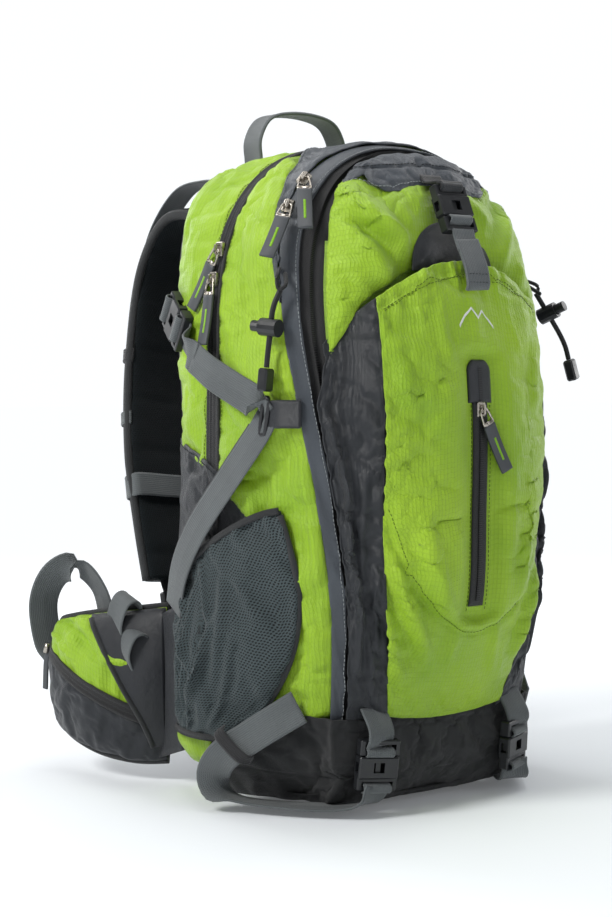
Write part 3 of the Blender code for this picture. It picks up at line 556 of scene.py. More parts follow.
class Nodes:
    """A small helper for building a material's nodes: each call adds one node and returns its main output."""

    def __init__(self, name, colour, roughness, metallic=0.0):
        self.material = bpy.data.materials.new(name)
        self.material.use_nodes = True
        self.tree = self.material.node_tree
        self.shader = self.tree.nodes["Principled BSDF"]
        self.shader.inputs["Base Color"].default_value = (*colour, 1)
        self.shader.inputs["Roughness"].default_value = roughness
        self.shader.inputs["Metallic"].default_value = metallic

    def add(self, kind, output=0, **inputs):
        node = self.tree.nodes.new(kind)
        for key, value in inputs.items():
            if key.startswith("set_"):
                setattr(node, key[4:], value)
                continue
            socket = node.inputs[int(key[1:])] if key[0] == "i" and key[1:].isdigit() else node.inputs[key]
            if isinstance(value, bpy.types.NodeSocket):
                self.tree.links.new(value, socket)
            else:
                socket.default_value = value
        return node.outputs[output]

    def math(self, operation, a, b=0.0, c=0.0):
        return self.add("ShaderNodeMath", set_operation=operation, i0=a, i1=b, i2=c)

    def cloth(self):
        """The cloth coordinates in metres, as (across, along)."""
        vector = self.add("ShaderNodeUVMap", set_uv_map="cloth")
        split = self.tree.nodes.new("ShaderNodeSeparateXYZ")
        self.tree.links.new(vector, split.inputs[0])
        return split.outputs[0], split.outputs[1]

    def wave(self, value, period, phase=0.0):
        """A cosine of the value with this period, in [-1, 1]."""
        return self.math("COSINE", self.math("MULTIPLY_ADD", value, 2 * math.pi / period, phase))

    def noise(self, scale, detail=3.0, rough=0.55):
        place = self.add("ShaderNodeTexCoord", output=3)
        return self.add("ShaderNodeTexNoise", Vector=place, Scale=scale, Detail=detail, Roughness=rough)

    def ramp(self, value, low, high, out_low=0.0, out_high=1.0):
        ends = {"i1": low, "i2": high, "i3": out_low, "i4": out_high}
        return self.add("ShaderNodeMapRange", set_clamp=True, i0=value, **ends)

    def mix(self, factor, dark, light):
        node = self.tree.nodes.new("ShaderNodeMix")
        node.data_type = "RGBA"
        for socket, value in ((node.inputs[0], factor), (node.inputs[6], dark), (node.inputs[7], light)):
            if isinstance(value, bpy.types.NodeSocket):
                self.tree.links.new(value, socket)
            elif isinstance(value, tuple):
                socket.default_value = (*value, 1) if len(value) == 3 else value
            else:
                socket.default_value = value
        return node.outputs[2]

    def colour(self, value):
        self.tree.links.new(value, self.shader.inputs["Base Color"])

    def roughness(self, value):
        self.tree.links.new(value, self.shader.inputs["Roughness"])

    def bump(self, *layers):
        """Bump from (height, depth in metres) layers, the first the lowest."""
        normal = None
        for height, depth in layers:
            node = self.tree.nodes.new("ShaderNodeBump")
            node.inputs["Distance"].default_value = depth
            self.tree.links.new(height, node.inputs["Height"])
            if normal is not None:
                self.tree.links.new(normal, node.inputs["Normal"])
            normal = node.outputs[0]
        self.tree.links.new(normal, self.shader.inputs["Normal"])

    def gloss(self, specular=0.5, sheen=0.0, sheen_roughness=0.5, coat=0.0):
        self.shader.inputs["Specular IOR Level"].default_value = specular
        self.shader.inputs["Sheen Weight"].default_value = sheen
        self.shader.inputs["Sheen Roughness"].default_value = sheen_roughness
        self.shader.inputs["Coat Weight"].default_value = coat
        return self.material


def ripstop(name, dark, light, roughness=0.42, period=0.0031, specular=0.4, sheen=0.15):
    """Thin woven nylon with a reinforcing grid, slightly crumpled."""
    n = Nodes(name, light, roughness)
    u, v = n.cloth()
    across, along = n.wave(u, period), n.wave(v, period * 1.25)
    grid = n.math("MAXIMUM", n.ramp(across, 0.72, 1.0), n.ramp(along, 0.80, 1.0))
    cells = n.math("MULTIPLY", n.ramp(across, -1.0, 1.0), 0.6)
    weave = n.math("MULTIPLY", n.wave(u, 0.00062), n.wave(v, 0.00062))
    wide = n.noise(9.0, 3.0)
    fine = n.noise(70.0, 4.0, 0.65)
    tone = n.mix(n.ramp(wide, 0.3, 0.7), dark, light)
    darker = tuple(c * 0.80 for c in dark)
    tone = n.mix(n.math("MULTIPLY", grid, 0.34), tone, darker)
    n.colour(n.mix(n.math("MULTIPLY", n.ramp(fine, 0.35, 0.75), 0.25), tone, light))
    n.roughness(n.ramp(wide, 0.3, 0.7, roughness - 0.05, roughness + 0.08))
    n.bump((fine, 0.0011), (cells, 0.00012), (grid, 0.00016), (weave, 0.00004))
    return n.gloss(specular, sheen, 0.4)


def satin(name, colour, roughness=0.40, lift=1.35, pitch=0.0009, specular=0.5):
    """Smooth slate nylon with a fine twill and faint creases."""
    n = Nodes(name, colour, roughness)
    u, v = n.cloth()
    twill = n.wave(n.math("ADD", u, v), pitch)
    wide = n.noise(14.0, 3.0)
    fine = n.noise(90.0, 4.0, 0.6)
    light = tuple(c * lift for c in colour)
    tone = n.mix(n.ramp(wide, 0.3, 0.7), colour, light)
    n.colour(n.mix(n.math("MULTIPLY", n.ramp(twill, 0.2, 1.0), 0.18), tone, tuple(c * 1.7 for c in colour)))
    n.roughness(n.ramp(fine, 0.3, 0.7, roughness - 0.06, roughness + 0.10))
    n.bump((fine, 0.0007), (twill, 0.00005))
    return n.gloss(specular, 0.1, 0.5)


def canvas(name, colour, roughness=0.75, pitch=0.0011):
    """Heavy plain-woven cloth."""
    n = Nodes(name, colour, roughness)
    u, v = n.cloth()
    weave = n.math("MULTIPLY", n.wave(u, pitch), n.wave(v, pitch))
    wide = n.noise(22.0, 4.0)
    light = tuple(c * 2.0 for c in colour)
    tone = n.mix(n.ramp(wide, 0.3, 0.75), colour, light)
    n.colour(n.mix(n.ramp(weave, 0.2, 1.0, 0.0, 0.5), tone, tuple(c * 2.6 for c in colour)))
    n.bump((wide, 0.0012), (weave, 0.00018))
    return n.gloss(0.35, 0.12, 0.6)


def knit(name, thread, hole, pitch, tilt, roughness=0.8, depth=0.0006, threshold=0.05, sheen=0.3):
    """Knitted mesh: slanted rows of small holes."""
    n = Nodes(name, thread, roughness)
    u, v = n.cloth()
    c, s = math.cos(tilt), math.sin(tilt)
    a = n.math("ADD", n.math("MULTIPLY", u, c), n.math("MULTIPLY", v, s))
    b = n.math("SUBTRACT", n.math("MULTIPLY", v, c), n.math("MULTIPLY", u, s))
    cells = n.math("MULTIPLY", n.wave(a, pitch * 1.9), n.wave(b, pitch))
    holes = n.ramp(cells, threshold, threshold + 0.35)
    wide = n.noise(12.0, 2.0)
    tone = n.mix(n.ramp(wide, 0.3, 0.7), tuple(x * 0.8 for x in thread), thread)
    n.colour(n.mix(holes, tone, hole))
    n.bump((n.math("MULTIPLY", holes, -1.0), depth))
    return n.gloss(0.25, sheen, 0.5)


def woven_strap(name, colour, roughness=0.62, rib=0.00165):
    """Webbing: ribs along the strap crossed by fine picks, with a plain selvedge."""
    n = Nodes(name, colour, roughness)
    u, v = n.cloth()
    ribs = n.wave(u, rib)
    picks = n.wave(n.math("ADD", v, n.math("MULTIPLY", n.math("ABSOLUTE", u), 0.6)), 0.0012)
    height = n.math("ADD", n.math("MULTIPLY", ribs, 0.45), n.math("MULTIPLY", picks, 0.55))
    wide = n.noise(30.0, 3.0)
    tone = n.mix(n.ramp(wide, 0.3, 0.7), tuple(x * 0.82 for x in colour), tuple(x * 1.12 for x in colour))
    n.colour(n.mix(n.ramp(height, -0.9, 0.9, 0.0, 1.0), tuple(x * 0.62 for x in colour), tone))
    n.bump((height, 0.00022))
    return n.gloss(0.35, 0.22, 0.45)


def moulded(name, colour, roughness=0.34, specular=0.5):
    """Injection-moulded plastic with a faint grain."""
    n = Nodes(name, colour, roughness)
    fine = n.noise(900.0, 2.0)
    wide = n.noise(60.0, 2.0)
    n.roughness(n.ramp(wide, 0.3, 0.7, roughness - 0.05, roughness + 0.08))
    n.bump((fine, 0.00003), (wide, 0.0001))
    return n.gloss(specular)


def nickel(name, colour=(0.60, 0.55, 0.48)):
    """Cast zip metal, dulled in its hollows."""
    n = Nodes(name, colour, 0.27, 1.0)
    wide = n.noise(350.0, 3.0)
    n.colour(n.mix(n.ramp(wide, 0.35, 0.65), tuple(c * 0.62 for c in colour), colour))
    n.roughness(n.ramp(wide, 0.3, 0.7, 0.20, 0.40))
    n.bump((wide, 0.00006))
    return n.gloss(0.5)


def plain(name, colour, roughness=0.7, specular=0.3):
    """A dull plain finish with a faint grain, for thread and prints."""
    n = Nodes(name, colour, roughness)
    fine = n.noise(600.0, 2.0)
    n.colour(n.mix(n.ramp(fine, 0.3, 0.7), tuple(c * 0.8 for c in colour), colour))
    n.bump((fine, 0.0001))
    return n.gloss(specular)


GREEN = ripstop("green ripstop", (0.225, 0.405, 0.010), (0.345, 0.545, 0.022))
# The same green ripstop made darker: painted shade for the front panel that lies behind the pocket.
GREEN_PAINTED_SHADE = ripstop("green ripstop inside", (0.16, 0.29, 0.012), (0.20, 0.34, 0.02))
SLATE = satin("slate nylon", (0.0140, 0.0160, 0.0195), 0.42, 1.2, specular=0.36)
SLATE_DARK = satin("dark slate nylon", (0.0115, 0.0130, 0.0165), 0.42)
SLATE_LIGHT = satin("light slate nylon", (0.040, 0.047, 0.057), 0.40)
BASE = canvas("black base cloth", (0.0058, 0.0062, 0.0068))
POCKET_MESH = knit("pocket mesh", (0.058, 0.078, 0.083), (0.004, 0.006, 0.007), 0.0026, math.radians(-32),
                   sheen=0.12)
SPACER_MESH = knit("spacer mesh", (0.0030, 0.0080, 0.0105), (0.0008, 0.0015, 0.002), 0.0024,
                   math.radians(20), depth=0.0009, sheen=0.03)
WEBBING = woven_strap("slate webbing", (0.122, 0.136, 0.141))
DARK_WEBBING = woven_strap("dark webbing", (0.022, 0.025, 0.029))
BLACK_WEBBING = woven_strap("black webbing", (0.014, 0.014, 0.016))
BINDING = canvas("black binding", (0.010, 0.011, 0.012), 0.7, 0.0008)
TAPE = canvas("zip tape", (0.008, 0.008, 0.009), 0.6, 0.0007)
COIL = moulded("zip coil", (0.010, 0.010, 0.011), 0.38)
PLASTIC = moulded("black buckle plastic", (0.012, 0.013, 0.015), 0.34)
METAL = nickel("nickel")
ELASTIC = woven_strap("black elastic", (0.008, 0.008, 0.009), 0.55, 0.0009)
GREEN_PRINT = plain("green print", (0.22, 0.46, 0.02), 0.5)
WHITE_PRINT = plain("white print", (0.78, 0.80, 0.76), 0.5)
PULL_RUBBER = moulded("ribbed pull", (0.055, 0.060, 0.066), 0.55)
THREAD_COLOURS = {"pale": (0.34, 0.40, 0.22), "white": (0.40, 0.43, 0.44), "dark": (0.016, 0.018, 0.018),
                  "olive": (0.10, 0.16, 0.015), "grey": (0.12, 0.13, 0.14)}
THREADS = {word: plain(f"{word} thread", colour, 0.8) for word, colour in THREAD_COLOURS.items()}


# ------------------------------------------------------------------ camera, light and floor

def look(position, target):
    """A placing whose local -Z points at the target, with +Z of the scene upward."""
    direction = (Vector(target) - Vector(position)).normalized()
    right = direction.cross(Vector((0, 0, 1))).normalized()
    up = right.cross(direction)
    turned = Matrix((right, up, -direction)).transposed().to_4x4()
    return Matrix.Translation(position) @ turned


def area_light(name, position, target, size, power, colour=(1, 1, 1)):
    """A soft rectangular light aimed at a point."""
    data = bpy.data.lights.new(name, "AREA")
    data.shape = "RECTANGLE"
    data.size, data.size_y = size
    data.energy = power
    data.color = colour
    light = bpy.data.objects.new(name, data)
    light.matrix_world = look(position, target)
    bpy.context.scene.collection.objects.link(light)


def stage_and_camera():
    """The camera, the pale backdrop, the floor and the five lights."""
    azimuth, elevation, distance = math.radians(-39.5), math.radians(2.6), 1.62
    target = Vector((-0.0440, 0.0360, 0.2700))
    step = Vector((math.sin(azimuth) * math.cos(elevation), -math.cos(azimuth) * math.cos(elevation),
                   math.sin(elevation))) * distance
    data = bpy.data.cameras.new("camera")
    data.sensor_fit = "VERTICAL"
    data.sensor_height = 36.0
    data.lens = 78.0
    camera = bpy.data.objects.new("camera", data)
    camera.matrix_world = look(target + step, target)
    bpy.context.scene.collection.objects.link(camera)
    bpy.context.scene.camera = camera

    world = bpy.data.worlds.new("studio")
    world.use_nodes = True
    sky = world.node_tree.nodes["Background"]
    sky.inputs[0].default_value = (0.95, 0.975, 1.0, 1)
    tree = world.node_tree
    path = tree.nodes.new("ShaderNodeLightPath")
    power = tree.nodes.new("ShaderNodeMapRange")
    power.inputs[3].default_value = 0.24
    power.inputs[4].default_value = 1.05
    tree.links.new(path.outputs["Is Camera Ray"], power.inputs[0])
    tree.links.new(power.outputs[0], sky.inputs[1])
    bpy.context.scene.world = world
    bpy.context.scene.view_settings.view_transform = "Standard"

    mesh = bpy.data.meshes.new("floor")
    reach = 14.0
    mesh.from_pydata([(-reach, -reach, 0), (reach, -reach, 0), (reach, reach, 0), (-reach, reach, 0)], [],
                     [(0, 1, 2, 3)])
    n = Nodes("floor", (0.80, 0.83, 0.86), 0.5)
    place = n.add("ShaderNodeTexCoord", output=3)
    distance = n.tree.nodes.new("ShaderNodeVectorMath")
    distance.operation = "LENGTH"
    n.tree.links.new(place, distance.inputs[0])
    glow = n.add("ShaderNodeMapRange", set_interpolation_type="SMOOTHSTEP", i0=distance.outputs["Value"],
                 i1=0.25, i2=1.9, i3=0.10, i4=1.0)
    n.shader.inputs["Emission Color"].default_value = (0.95, 0.975, 1.0, 1)
    n.tree.links.new(glow, n.shader.inputs["Emission Strength"])
    fade = n.add("ShaderNodeMapRange", set_interpolation_type="SMOOTHSTEP", i0=distance.outputs["Value"],
                 i1=0.5, i2=2.2)
    n.colour(n.mix(fade, (0.80, 0.83, 0.86), (0.02, 0.02, 0.02)))
    floor_material = n.gloss(0.15)
    floor = finish_object("floor", mesh, floor_material, None)
    floor.location.z = -0.0004
    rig.stage(floor)

    def aside(right, forward, up):
        """A point right of, towards the camera from, and above the pack, as the camera sees it."""
        view = Vector((math.sin(azimuth), -math.cos(azimuth), 0))
        across = Vector((math.cos(azimuth), math.sin(azimuth), 0))
        return tuple(across * right + view * forward + Vector((0, 0, up)))

    centre = (0, 0, 0.27)
    area_light("key", aside(-1.5, 1.1, 1.6), centre, (0.7, 0.7), 40, (1.0, 0.99, 0.97))
    area_light("fill", aside(1.7, 1.0, 1.0), centre, (0.9, 1.2), 4, (0.96, 0.98, 1.0))
    area_light("top", aside(0.0, -0.2, 2.1), centre, (1.3, 1.3), 18)
    area_light("rim left", aside(-1.2, -1.4, 1.1), centre, (0.7, 1.4), 13)
    area_light("rim right", aside(1.3, -1.3, 1.1), centre, (0.7, 1.4), 11)


stage_and_camera()


# ------------------------------------------------------------------ cloth

def relax(points, slack=0.03, pressure=0.0, frames=18, cap=0.006):
    """Lets a grid of cloth, held along its rim and cut a little too large, settle into its own wrinkles."""
    if not UNHURRIED:
        return points
    rows, columns = points.shape[:2]
    index = np.arange(rows * columns).reshape(rows, columns)
    faces = np.stack([index[:-1, :-1], index[:-1, 1:], index[1:, 1:], index[1:, :-1]], -1).reshape(-1, 4)
    normal = outward(points, grid_normals(points))
    if (grid_normals(points) * normal).sum() < 0:
        faces = faces[:, ::-1]
    ripple = value_noise(run_length(points, 1), run_length(points, 0), 0.016, rows) * 0.0008
    start = points + normal * ripple[..., None]
    mesh = bpy.data.meshes.new("settling")
    mesh.from_pydata(start.reshape(-1, 3).tolist(), [], faces.tolist())
    obj = bpy.data.objects.new("settling", mesh)
    bpy.context.scene.collection.objects.link(obj)
    held = obj.vertex_groups.new(name="held")
    rim = np.concatenate([index[0], index[-1], index[:, 0], index[:, -1]])
    held.add([int(i) for i in rim], 1.0, "REPLACE")
    cloth = obj.modifiers.new("cloth", "CLOTH")
    settings = cloth.settings
    settings.vertex_group_mass = "held"
    settings.quality = 5
    settings.mass = 0.10
    settings.tension_stiffness = 12
    settings.compression_stiffness = 12
    settings.shear_stiffness = 4
    settings.bending_stiffness = 0.08
    settings.air_damping = 3
    settings.shrink_min = -slack
    settings.use_pressure = pressure != 0
    settings.uniform_pressure_force = pressure
    settings.effector_weights.gravity = 0
    cloth.collision_settings.use_collision = False
    cloth.point_cache.frame_start, cloth.point_cache.frame_end = 1, frames
    for number in range(1, frames + 1):
        bpy.context.scene.frame_set(number)
    settled = obj.evaluated_get(bpy.context.evaluated_depsgraph_get()).to_mesh()
    found = np.empty(len(settled.vertices) * 3)
    settled.vertices.foreach_get("co", found)
    bpy.data.objects.remove(obj)
    bpy.data.meshes.remove(mesh)
    bpy.context.scene.frame_set(1)
    moved = found.reshape(rows, columns, 3) - points
    if not np.isfinite(moved).all():
        return points
    size = np.linalg.norm(moved, axis=-1, keepdims=True)
    return points + moved * np.minimum(1, cap / np.maximum(size, 1e-9))


def finer(points, times=2):
    """The same grid with more rows and columns, smoothly filled in."""
    for axis in (0, 1):
        count = points.shape[axis]
        place = np.linspace(0, count - 1, (count - 1) * times + 1)
        i = np.clip(np.floor(place).astype(int), 0, count - 2)
        t = (place - i).reshape([-1 if a == axis else 1 for a in range(3)])
        a, b, c, d = (np.take(points, np.clip(i + k, 0, count - 1), axis) for k in (-1, 0, 1, 2))
        points = 0.5 * (2 * b + (c - a) * t + (2 * a - 5 * b + 4 * c - d) * t * t
                        + (3 * b - a - 3 * c + d) * t ** 3)
    return points


def rim_distance(points):
    """How far each point of a grid is from the grid's nearest edge."""
    u, v = run_length(points, 1), run_length(points, 0)
    return np.minimum(np.minimum(u, u[:, -1:] - u), np.minimum(v, v[-1:] - v)), u, v


def cloth_panel(name, points, stuff, body="bag", seed=1, wrinkle=1.0, crown=0.0012, pucker=0.5, relief=None,
                slack=0.03, cap=0.005, pressure=0.0, thickness=0.0012, settle=True, fine=2, calm=None):
    """A sewn cloth panel from a grid: settled, then filled in, with wrinkles that die out at its seams.

    calm gives the share of settling and wrinkling kept at each point, where another piece lies over it."""
    if settle:
        settled = relax(points, slack, pressure, cap=cap)
        points = settled if calm is None else points + (settled - points) * calm(points)[..., None]
    points = finer(points, fine)
    edge, u, v = rim_distance(points)
    normal = outward(points, grid_normals(points))
    inner = 1 - np.exp(-(edge / 0.010) ** 2)
    if calm is not None:
        inner = inner * calm(points)
    height = crown * (1 - np.exp(-edge / 0.006))
    slant = v * 0.62 + u * 0.25
    height += wrinkle * inner * (0.0020 * value_noise(u * 1.2, slant, 0.046, seed)
                                 + 0.0014 * (crumple(u * 1.15, slant, 0.028, seed) - 0.4)
                                 + 0.0003 * (crumple(u, slant * 1.2, 0.011, seed + 7) - 0.4))
    near = np.exp(-((edge - 0.006) / 0.006) ** 2)
    height += pucker * near * 0.0009 * value_noise(u, v, 0.0065, seed + 4)
    if relief is not None:
        height += relief(points)
    return sheet_object(name, points + normal * height[..., None], stuff, body, thickness)


def snap(obj, line):
    """The nearest places on a piece's surface to a line of points, with the surface's outward directions."""
    mesh = obj.data
    tree = BVHTree.FromPolygons([v.co for v in mesh.vertices], [tuple(p.vertices) for p in mesh.polygons])
    places, normals = [], []
    for point in line:
        place, normal, _, _ = tree.find_nearest(Vector(point))
        away = Vector(point) - Vector((0, 0.02, 0.25))
        places.append(place)
        normals.append(normal if normal.dot(away) > 0 else -normal)
    return np.array(places), np.array(normals)


def sew(obj, line, body="bag", colour="pale", lift=0.004, **looks):
    """Stitches along a line, laid on a piece. The line is lifted first so that it meets the outer face."""
    line = smooth_path(line, max(8, int(np.linalg.norm(np.diff(line, axis=0), axis=1).sum() / 0.0025)))
    away = unit(line - np.array((0, 0.02, 0.25)))
    places, normals = snap(obj, line + away * lift)
    stitch(places + normals * 0.0003, normals, body, colour, **looks)


def around(s):
    """Loop parameter for a run that goes up the right side, over the top and down the left side."""
    return np.where(s <= 1, s, s - 2)


def gusset_grid(start, end, near, far, rows, columns):
    """A grid over one run of the gusset, between two shares of its width."""
    s = np.linspace(start, end, rows)
    share = np.linspace(0, 1, columns)
    low = near(s) if callable(near) else np.full(rows, near)
    high = far(s) if callable(far) else np.full(rows, far)
    return gusset(around(s)[:, None], low[:, None] + (high - low)[:, None] * share)


def side_x(y, z):
    """Half width of the bag's side at a depth and height."""
    middle = half_width(ZIP_WIDTH, ZIP_TURN, TOP_ZIP, z)
    front = y < Y_ZIP
    end = np.where(front, edge_width(z), half_width(BACK_WIDTH, BACK_TURN, TOP_BACK, z))
    depth = np.where(front, Y_ZIP - edge_depth(z), Y_BACK - Y_ZIP)
    share = np.clip(np.abs(y - Y_ZIP) / depth, 0, 1)
    return middle + (end - middle) * share ** GUSSET_TURN


def side_t(z):
    """Loop parameter of a height on the straight part of the side."""
    return BOTTOM_SHARE + (SIDE_SHARE - BOTTOM_SHARE) * (z - Z_CORNER) / (Z_SHOULDER - Z_CORNER)


ZIP_HALF = 0.085  # half of the main zip band's width, as a share of the gusset
BOTTOM_START = 0.055  # where the side cloths start along the loop, just off the middle of the bottom
COVERED_DEPTH = 0.0056  # how deep a side cloth is sunk where another piece is sewn over it


def covered(points):
    """How deep the side cloth lies where the slate corner, the mesh pocket and the base are sewn over it."""
    y, z = points[..., 1], points[..., 2]
    share = np.where(y < Y_ZIP, (y - Y_ZIP) / np.maximum(Y_ZIP - edge_depth(z), 1e-4),
                     (y - Y_ZIP) / (Y_BACK - Y_ZIP))
    corner = np.interp(share, CORNER_TOP[0], CORNER_TOP[1]) - 0.006
    under = np.clip((corner - z) / 0.006, 0, 1) * np.clip((share + 0.48) / 0.04, 0, 1) * (z > 0.060)
    v = np.clip((z - POUCH_FOOT) / (0.235 - POUCH_FOOT), 0, 1)
    front = pouch_front(z, v)
    u = np.clip((y - front) / (0.090 - front), 0, 1)
    pouch = np.clip((y - front - 0.004) / 0.006, 0, 1) * np.clip((pouch_top(u) - 0.006 - z) / 0.008, 0, 1)
    pouch = pouch * np.clip((z - POUCH_FOOT - 0.004) / 0.008, 0, 1)
    wide = 0.6 + 0.4 * np.clip((y + 0.085) / 0.120, 0, 1)
    skirt = np.clip((skirt_top(wide) + 0.002 - z) / 0.006, 0, 1) * np.clip((0.034 - y) / 0.010, 0, 1)
    crown = np.clip((np.interp(z, CROWN_BACK[0], CROWN_BACK[1]) - share) / 0.08, 0, 1) * (y < Y_ZIP)
    return -COVERED_DEPTH * np.clip(np.maximum.reduce([under, pouch, skirt, crown]), 0, 1)


def uncovered(points):
    """The share of the side cloth's wrinkling that is kept: none where something is sewn over it."""
    return 1 + covered(points) / COVERED_DEPTH


POUCH_FOOT = 0.054  # height of the mesh pocket's foot
CROWN_BACK = ([0.402, 0.419, 0.474, 0.503, 0.514, 0.530], [-1.02, -0.93, -0.80, -0.53, -0.09, -0.09])


def pouch_front(z, v):
    """Depth of the mesh pocket's front edge, which is rounded at its foot."""
    return edge_depth(z) + 0.019 + 0.052 * (1 - v) ** 4 + 0.010 * np.clip(v - 0.62, 0, 1) ** 1.5 / 0.23


def pouch_top(u):
    """Height of the mesh pocket's top edge, which falls towards the rear."""
    return 0.235 - 0.072 * u ** 1.4


def skirt_top(wide):
    """Height of the black base's upper edge. wide is nought at the middle of the front, one at the flank."""
    rise, fall = np.clip((wide - 0.35) / 0.5, 0, 1), np.clip((wide - 0.68) / 0.32, 0, 1)
    return 0.0740 + 0.010 * rise ** 2 - 0.060 * fall ** 0.9


CORNER_TOP = ([-0.50, -0.30, -0.12, 0.05, 0.5, 1.0], [0.222, 0.244, 0.262, 0.271, 0.279, 0.287])


def build_gussets():
    """The green sides, rear and front, with their stitches."""
    rear = gusset_grid(BOTTOM_START, 2 - BOTTOM_START, ZIP_HALF, 1.0, 330, 15)
    panel = cloth_panel("rear_gusset_cloth", rear, GREEN, seed=11, wrinkle=1.0, crown=0.0022, slack=0.032,
                        cap=0.0034, relief=covered, calm=uncovered)
    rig.replaces(panel, "rear_gusset")
    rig.sheet(panel, (0.075, 1.42), "stretched", ["back_panel_cloth"], area=0.081)
    front = gusset_grid(BOTTOM_START, 2 - BOTTOM_START, -1.0, -ZIP_HALF, 330, 17)
    panel_front = cloth_panel("front_gusset_cloth", front, GREEN, seed=23, wrinkle=1.15, crown=0.0022,
                              slack=0.036, cap=0.0038, relief=covered, calm=uncovered)
    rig.replaces(panel_front, "front_gusset")
    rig.sheet(panel_front, (0.098, 1.42), "stretched", ["rear_gusset_cloth"], area=0.117)
    for side in (1, -1):
        s = np.linspace(0.17, 0.985, 120)
        for d, piece in ((ZIP_HALF + 0.035, panel), (-ZIP_HALF - 0.035, panel_front)):
            seen = s if d > 0 else s[s < 0.90]
            sew(piece, gusset(side * seen, np.full_like(seen, d)), colour="olive", lift=0.003)


def build_crown_band():
    """The slate panel that covers the front gusset over the top and tapers down both corners."""
    def far(s):
        return np.interp(np.abs(s - 1), [0, 0.08, 0.13, 0.20, 0.30, 0.345],
                         [-0.092, -0.092, -0.53, -0.80, -0.93, -0.985])

    grid = gusset_grid(0.655, 1.345, -1.0, far, 150, 12)
    normal = outward(grid, grid_normals(grid))
    band = cloth_panel("crown_band", grid + normal * 0.0022, SLATE_LIGHT, seed=29, wrinkle=0.7,
                       crown=0.0008, slack=0.02, cap=0.0016, pucker=0.3)
    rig.sheet(band, (0.05, 0.40), "stretched", ["front_gusset_cloth"], area=0.0120)
    for side in (1, -1):
        s = np.linspace(0.70, 0.999, 60)
        edge = gusset(side * s, far(s) - 0.045)
        sew(band, edge, colour="grey", lift=0.004)


BOX_FACES = ((0, 1, 2, 3), (7, 6, 5, 4), (0, 4, 5, 1), (1, 5, 6, 2), (2, 6, 7, 3), (3, 7, 4, 0))
BOX_SIDES = ((-1, -1), (1, -1), (1, 1), (-1, 1))


def zip_teeth(name, teeth):
    """One mesh of small boxes, each given as (middle of its foot, half side, other half side, height)."""
    points, faces = [], []
    for foot, side, other, height in teeth:
        faces += [tuple(len(points) + k for k in face) for face in BOX_FACES]
        points += [foot + side * a + other * b + height * c for c in (0, 1) for a, b in BOX_SIDES]
    plain_object(name, points, faces, COIL, "bag", smooth=False)


def build_main_zip():
    """The zip band: two black tapes under folded edges, with the closed coil's groove down the middle."""
    share = np.array([-1, -0.93, -0.80, -0.62, -0.50, -0.42, -0.22, -0.12, -0.04, 0.04, 0.12, 0.22, 0.42,
                      0.50, 0.62, 0.80, 0.93, 1])
    height = np.array([0, 0.0016, 0.0019, 0.0016, 0.0006, 0.0012, 0.0016, 0.0014, 0.0006, 0.0006, 0.0014,
                       0.0016, 0.0012, 0.0006, 0.0016, 0.0019, 0.0016, 0]) + 0.0002
    s = np.linspace(0.19, 1.81, 500)
    points = gusset(around(s)[:, None], share[None] * (ZIP_HALF + 0.02))
    normal = outward(points, grid_normals(points))
    sheet_object("main_zip_band", points + normal * height[None, :, None], TAPE, "bag", 0.0010)
    teeth = []
    for value in np.arange(0.20, 1.80, 0.0017 / 0.78):
        here = gusset(around(np.array([value, value + 0.0008])), np.zeros(2))
        across = gusset(around(np.array([value, value])), np.array([-0.014, 0.014]))
        out = unit(here[0] - np.array((0, Y_ZIP, 0.25)))
        teeth.append((here[0] + out * 0.0004, unit(here[1] - here[0]) * 0.0005, (across[1] - across[0]) / 2,
                      out * 0.0012))
    zip_teeth("main_zip_teeth", teeth)


def side_patch(side):
    """The slate lower corner of the side, behind the mesh pocket."""
    d = np.linspace(-0.50, 1.0, 40)
    top_z = np.interp(d, *CORNER_TOP)
    share = np.linspace(0, 1, 60)
    z = 0.060 + (top_z[None] - 0.060) * share[:, None]
    points = gusset(side * side_t(z), np.broadcast_to(d, z.shape))
    normal = outward(points, grid_normals(points))
    name = "side_corner_" + ("right" if side > 0 else "left")
    panel = cloth_panel(name, points + normal * 0.0024, SLATE, seed=31 + side, wrinkle=0.8, crown=0.0006,
                        slack=0.02, cap=0.0016)
    sew(panel, gusset(side * side_t(top_z - 0.004), d), colour="dark", lift=0.005)
    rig.sheet(panel, (0.13, 0.24), "stretched", ["rear_gusset_cloth"], area=0.0262)


def pocket_grid(side, rows, columns, lift):
    """Points of the mesh pocket: columns run from front to rear, rows from its foot to its top."""
    u = np.linspace(0, 1, columns)[None]
    v = np.linspace(0, 1, rows)[:, None]
    z = POUCH_FOOT + (pouch_top(u) - POUCH_FOOT) * v
    front = pouch_front(z, v)
    y = front + (0.090 - front) * u
    bulge = 0.0145 * np.sin(math.pi * u) ** 0.7 * np.sin(math.pi * (0.12 + 0.8 * v)) ** 0.7
    x = side_x(y, z) + 0.0040 + lift + bulge
    return np.stack([side * x, y, z], -1)


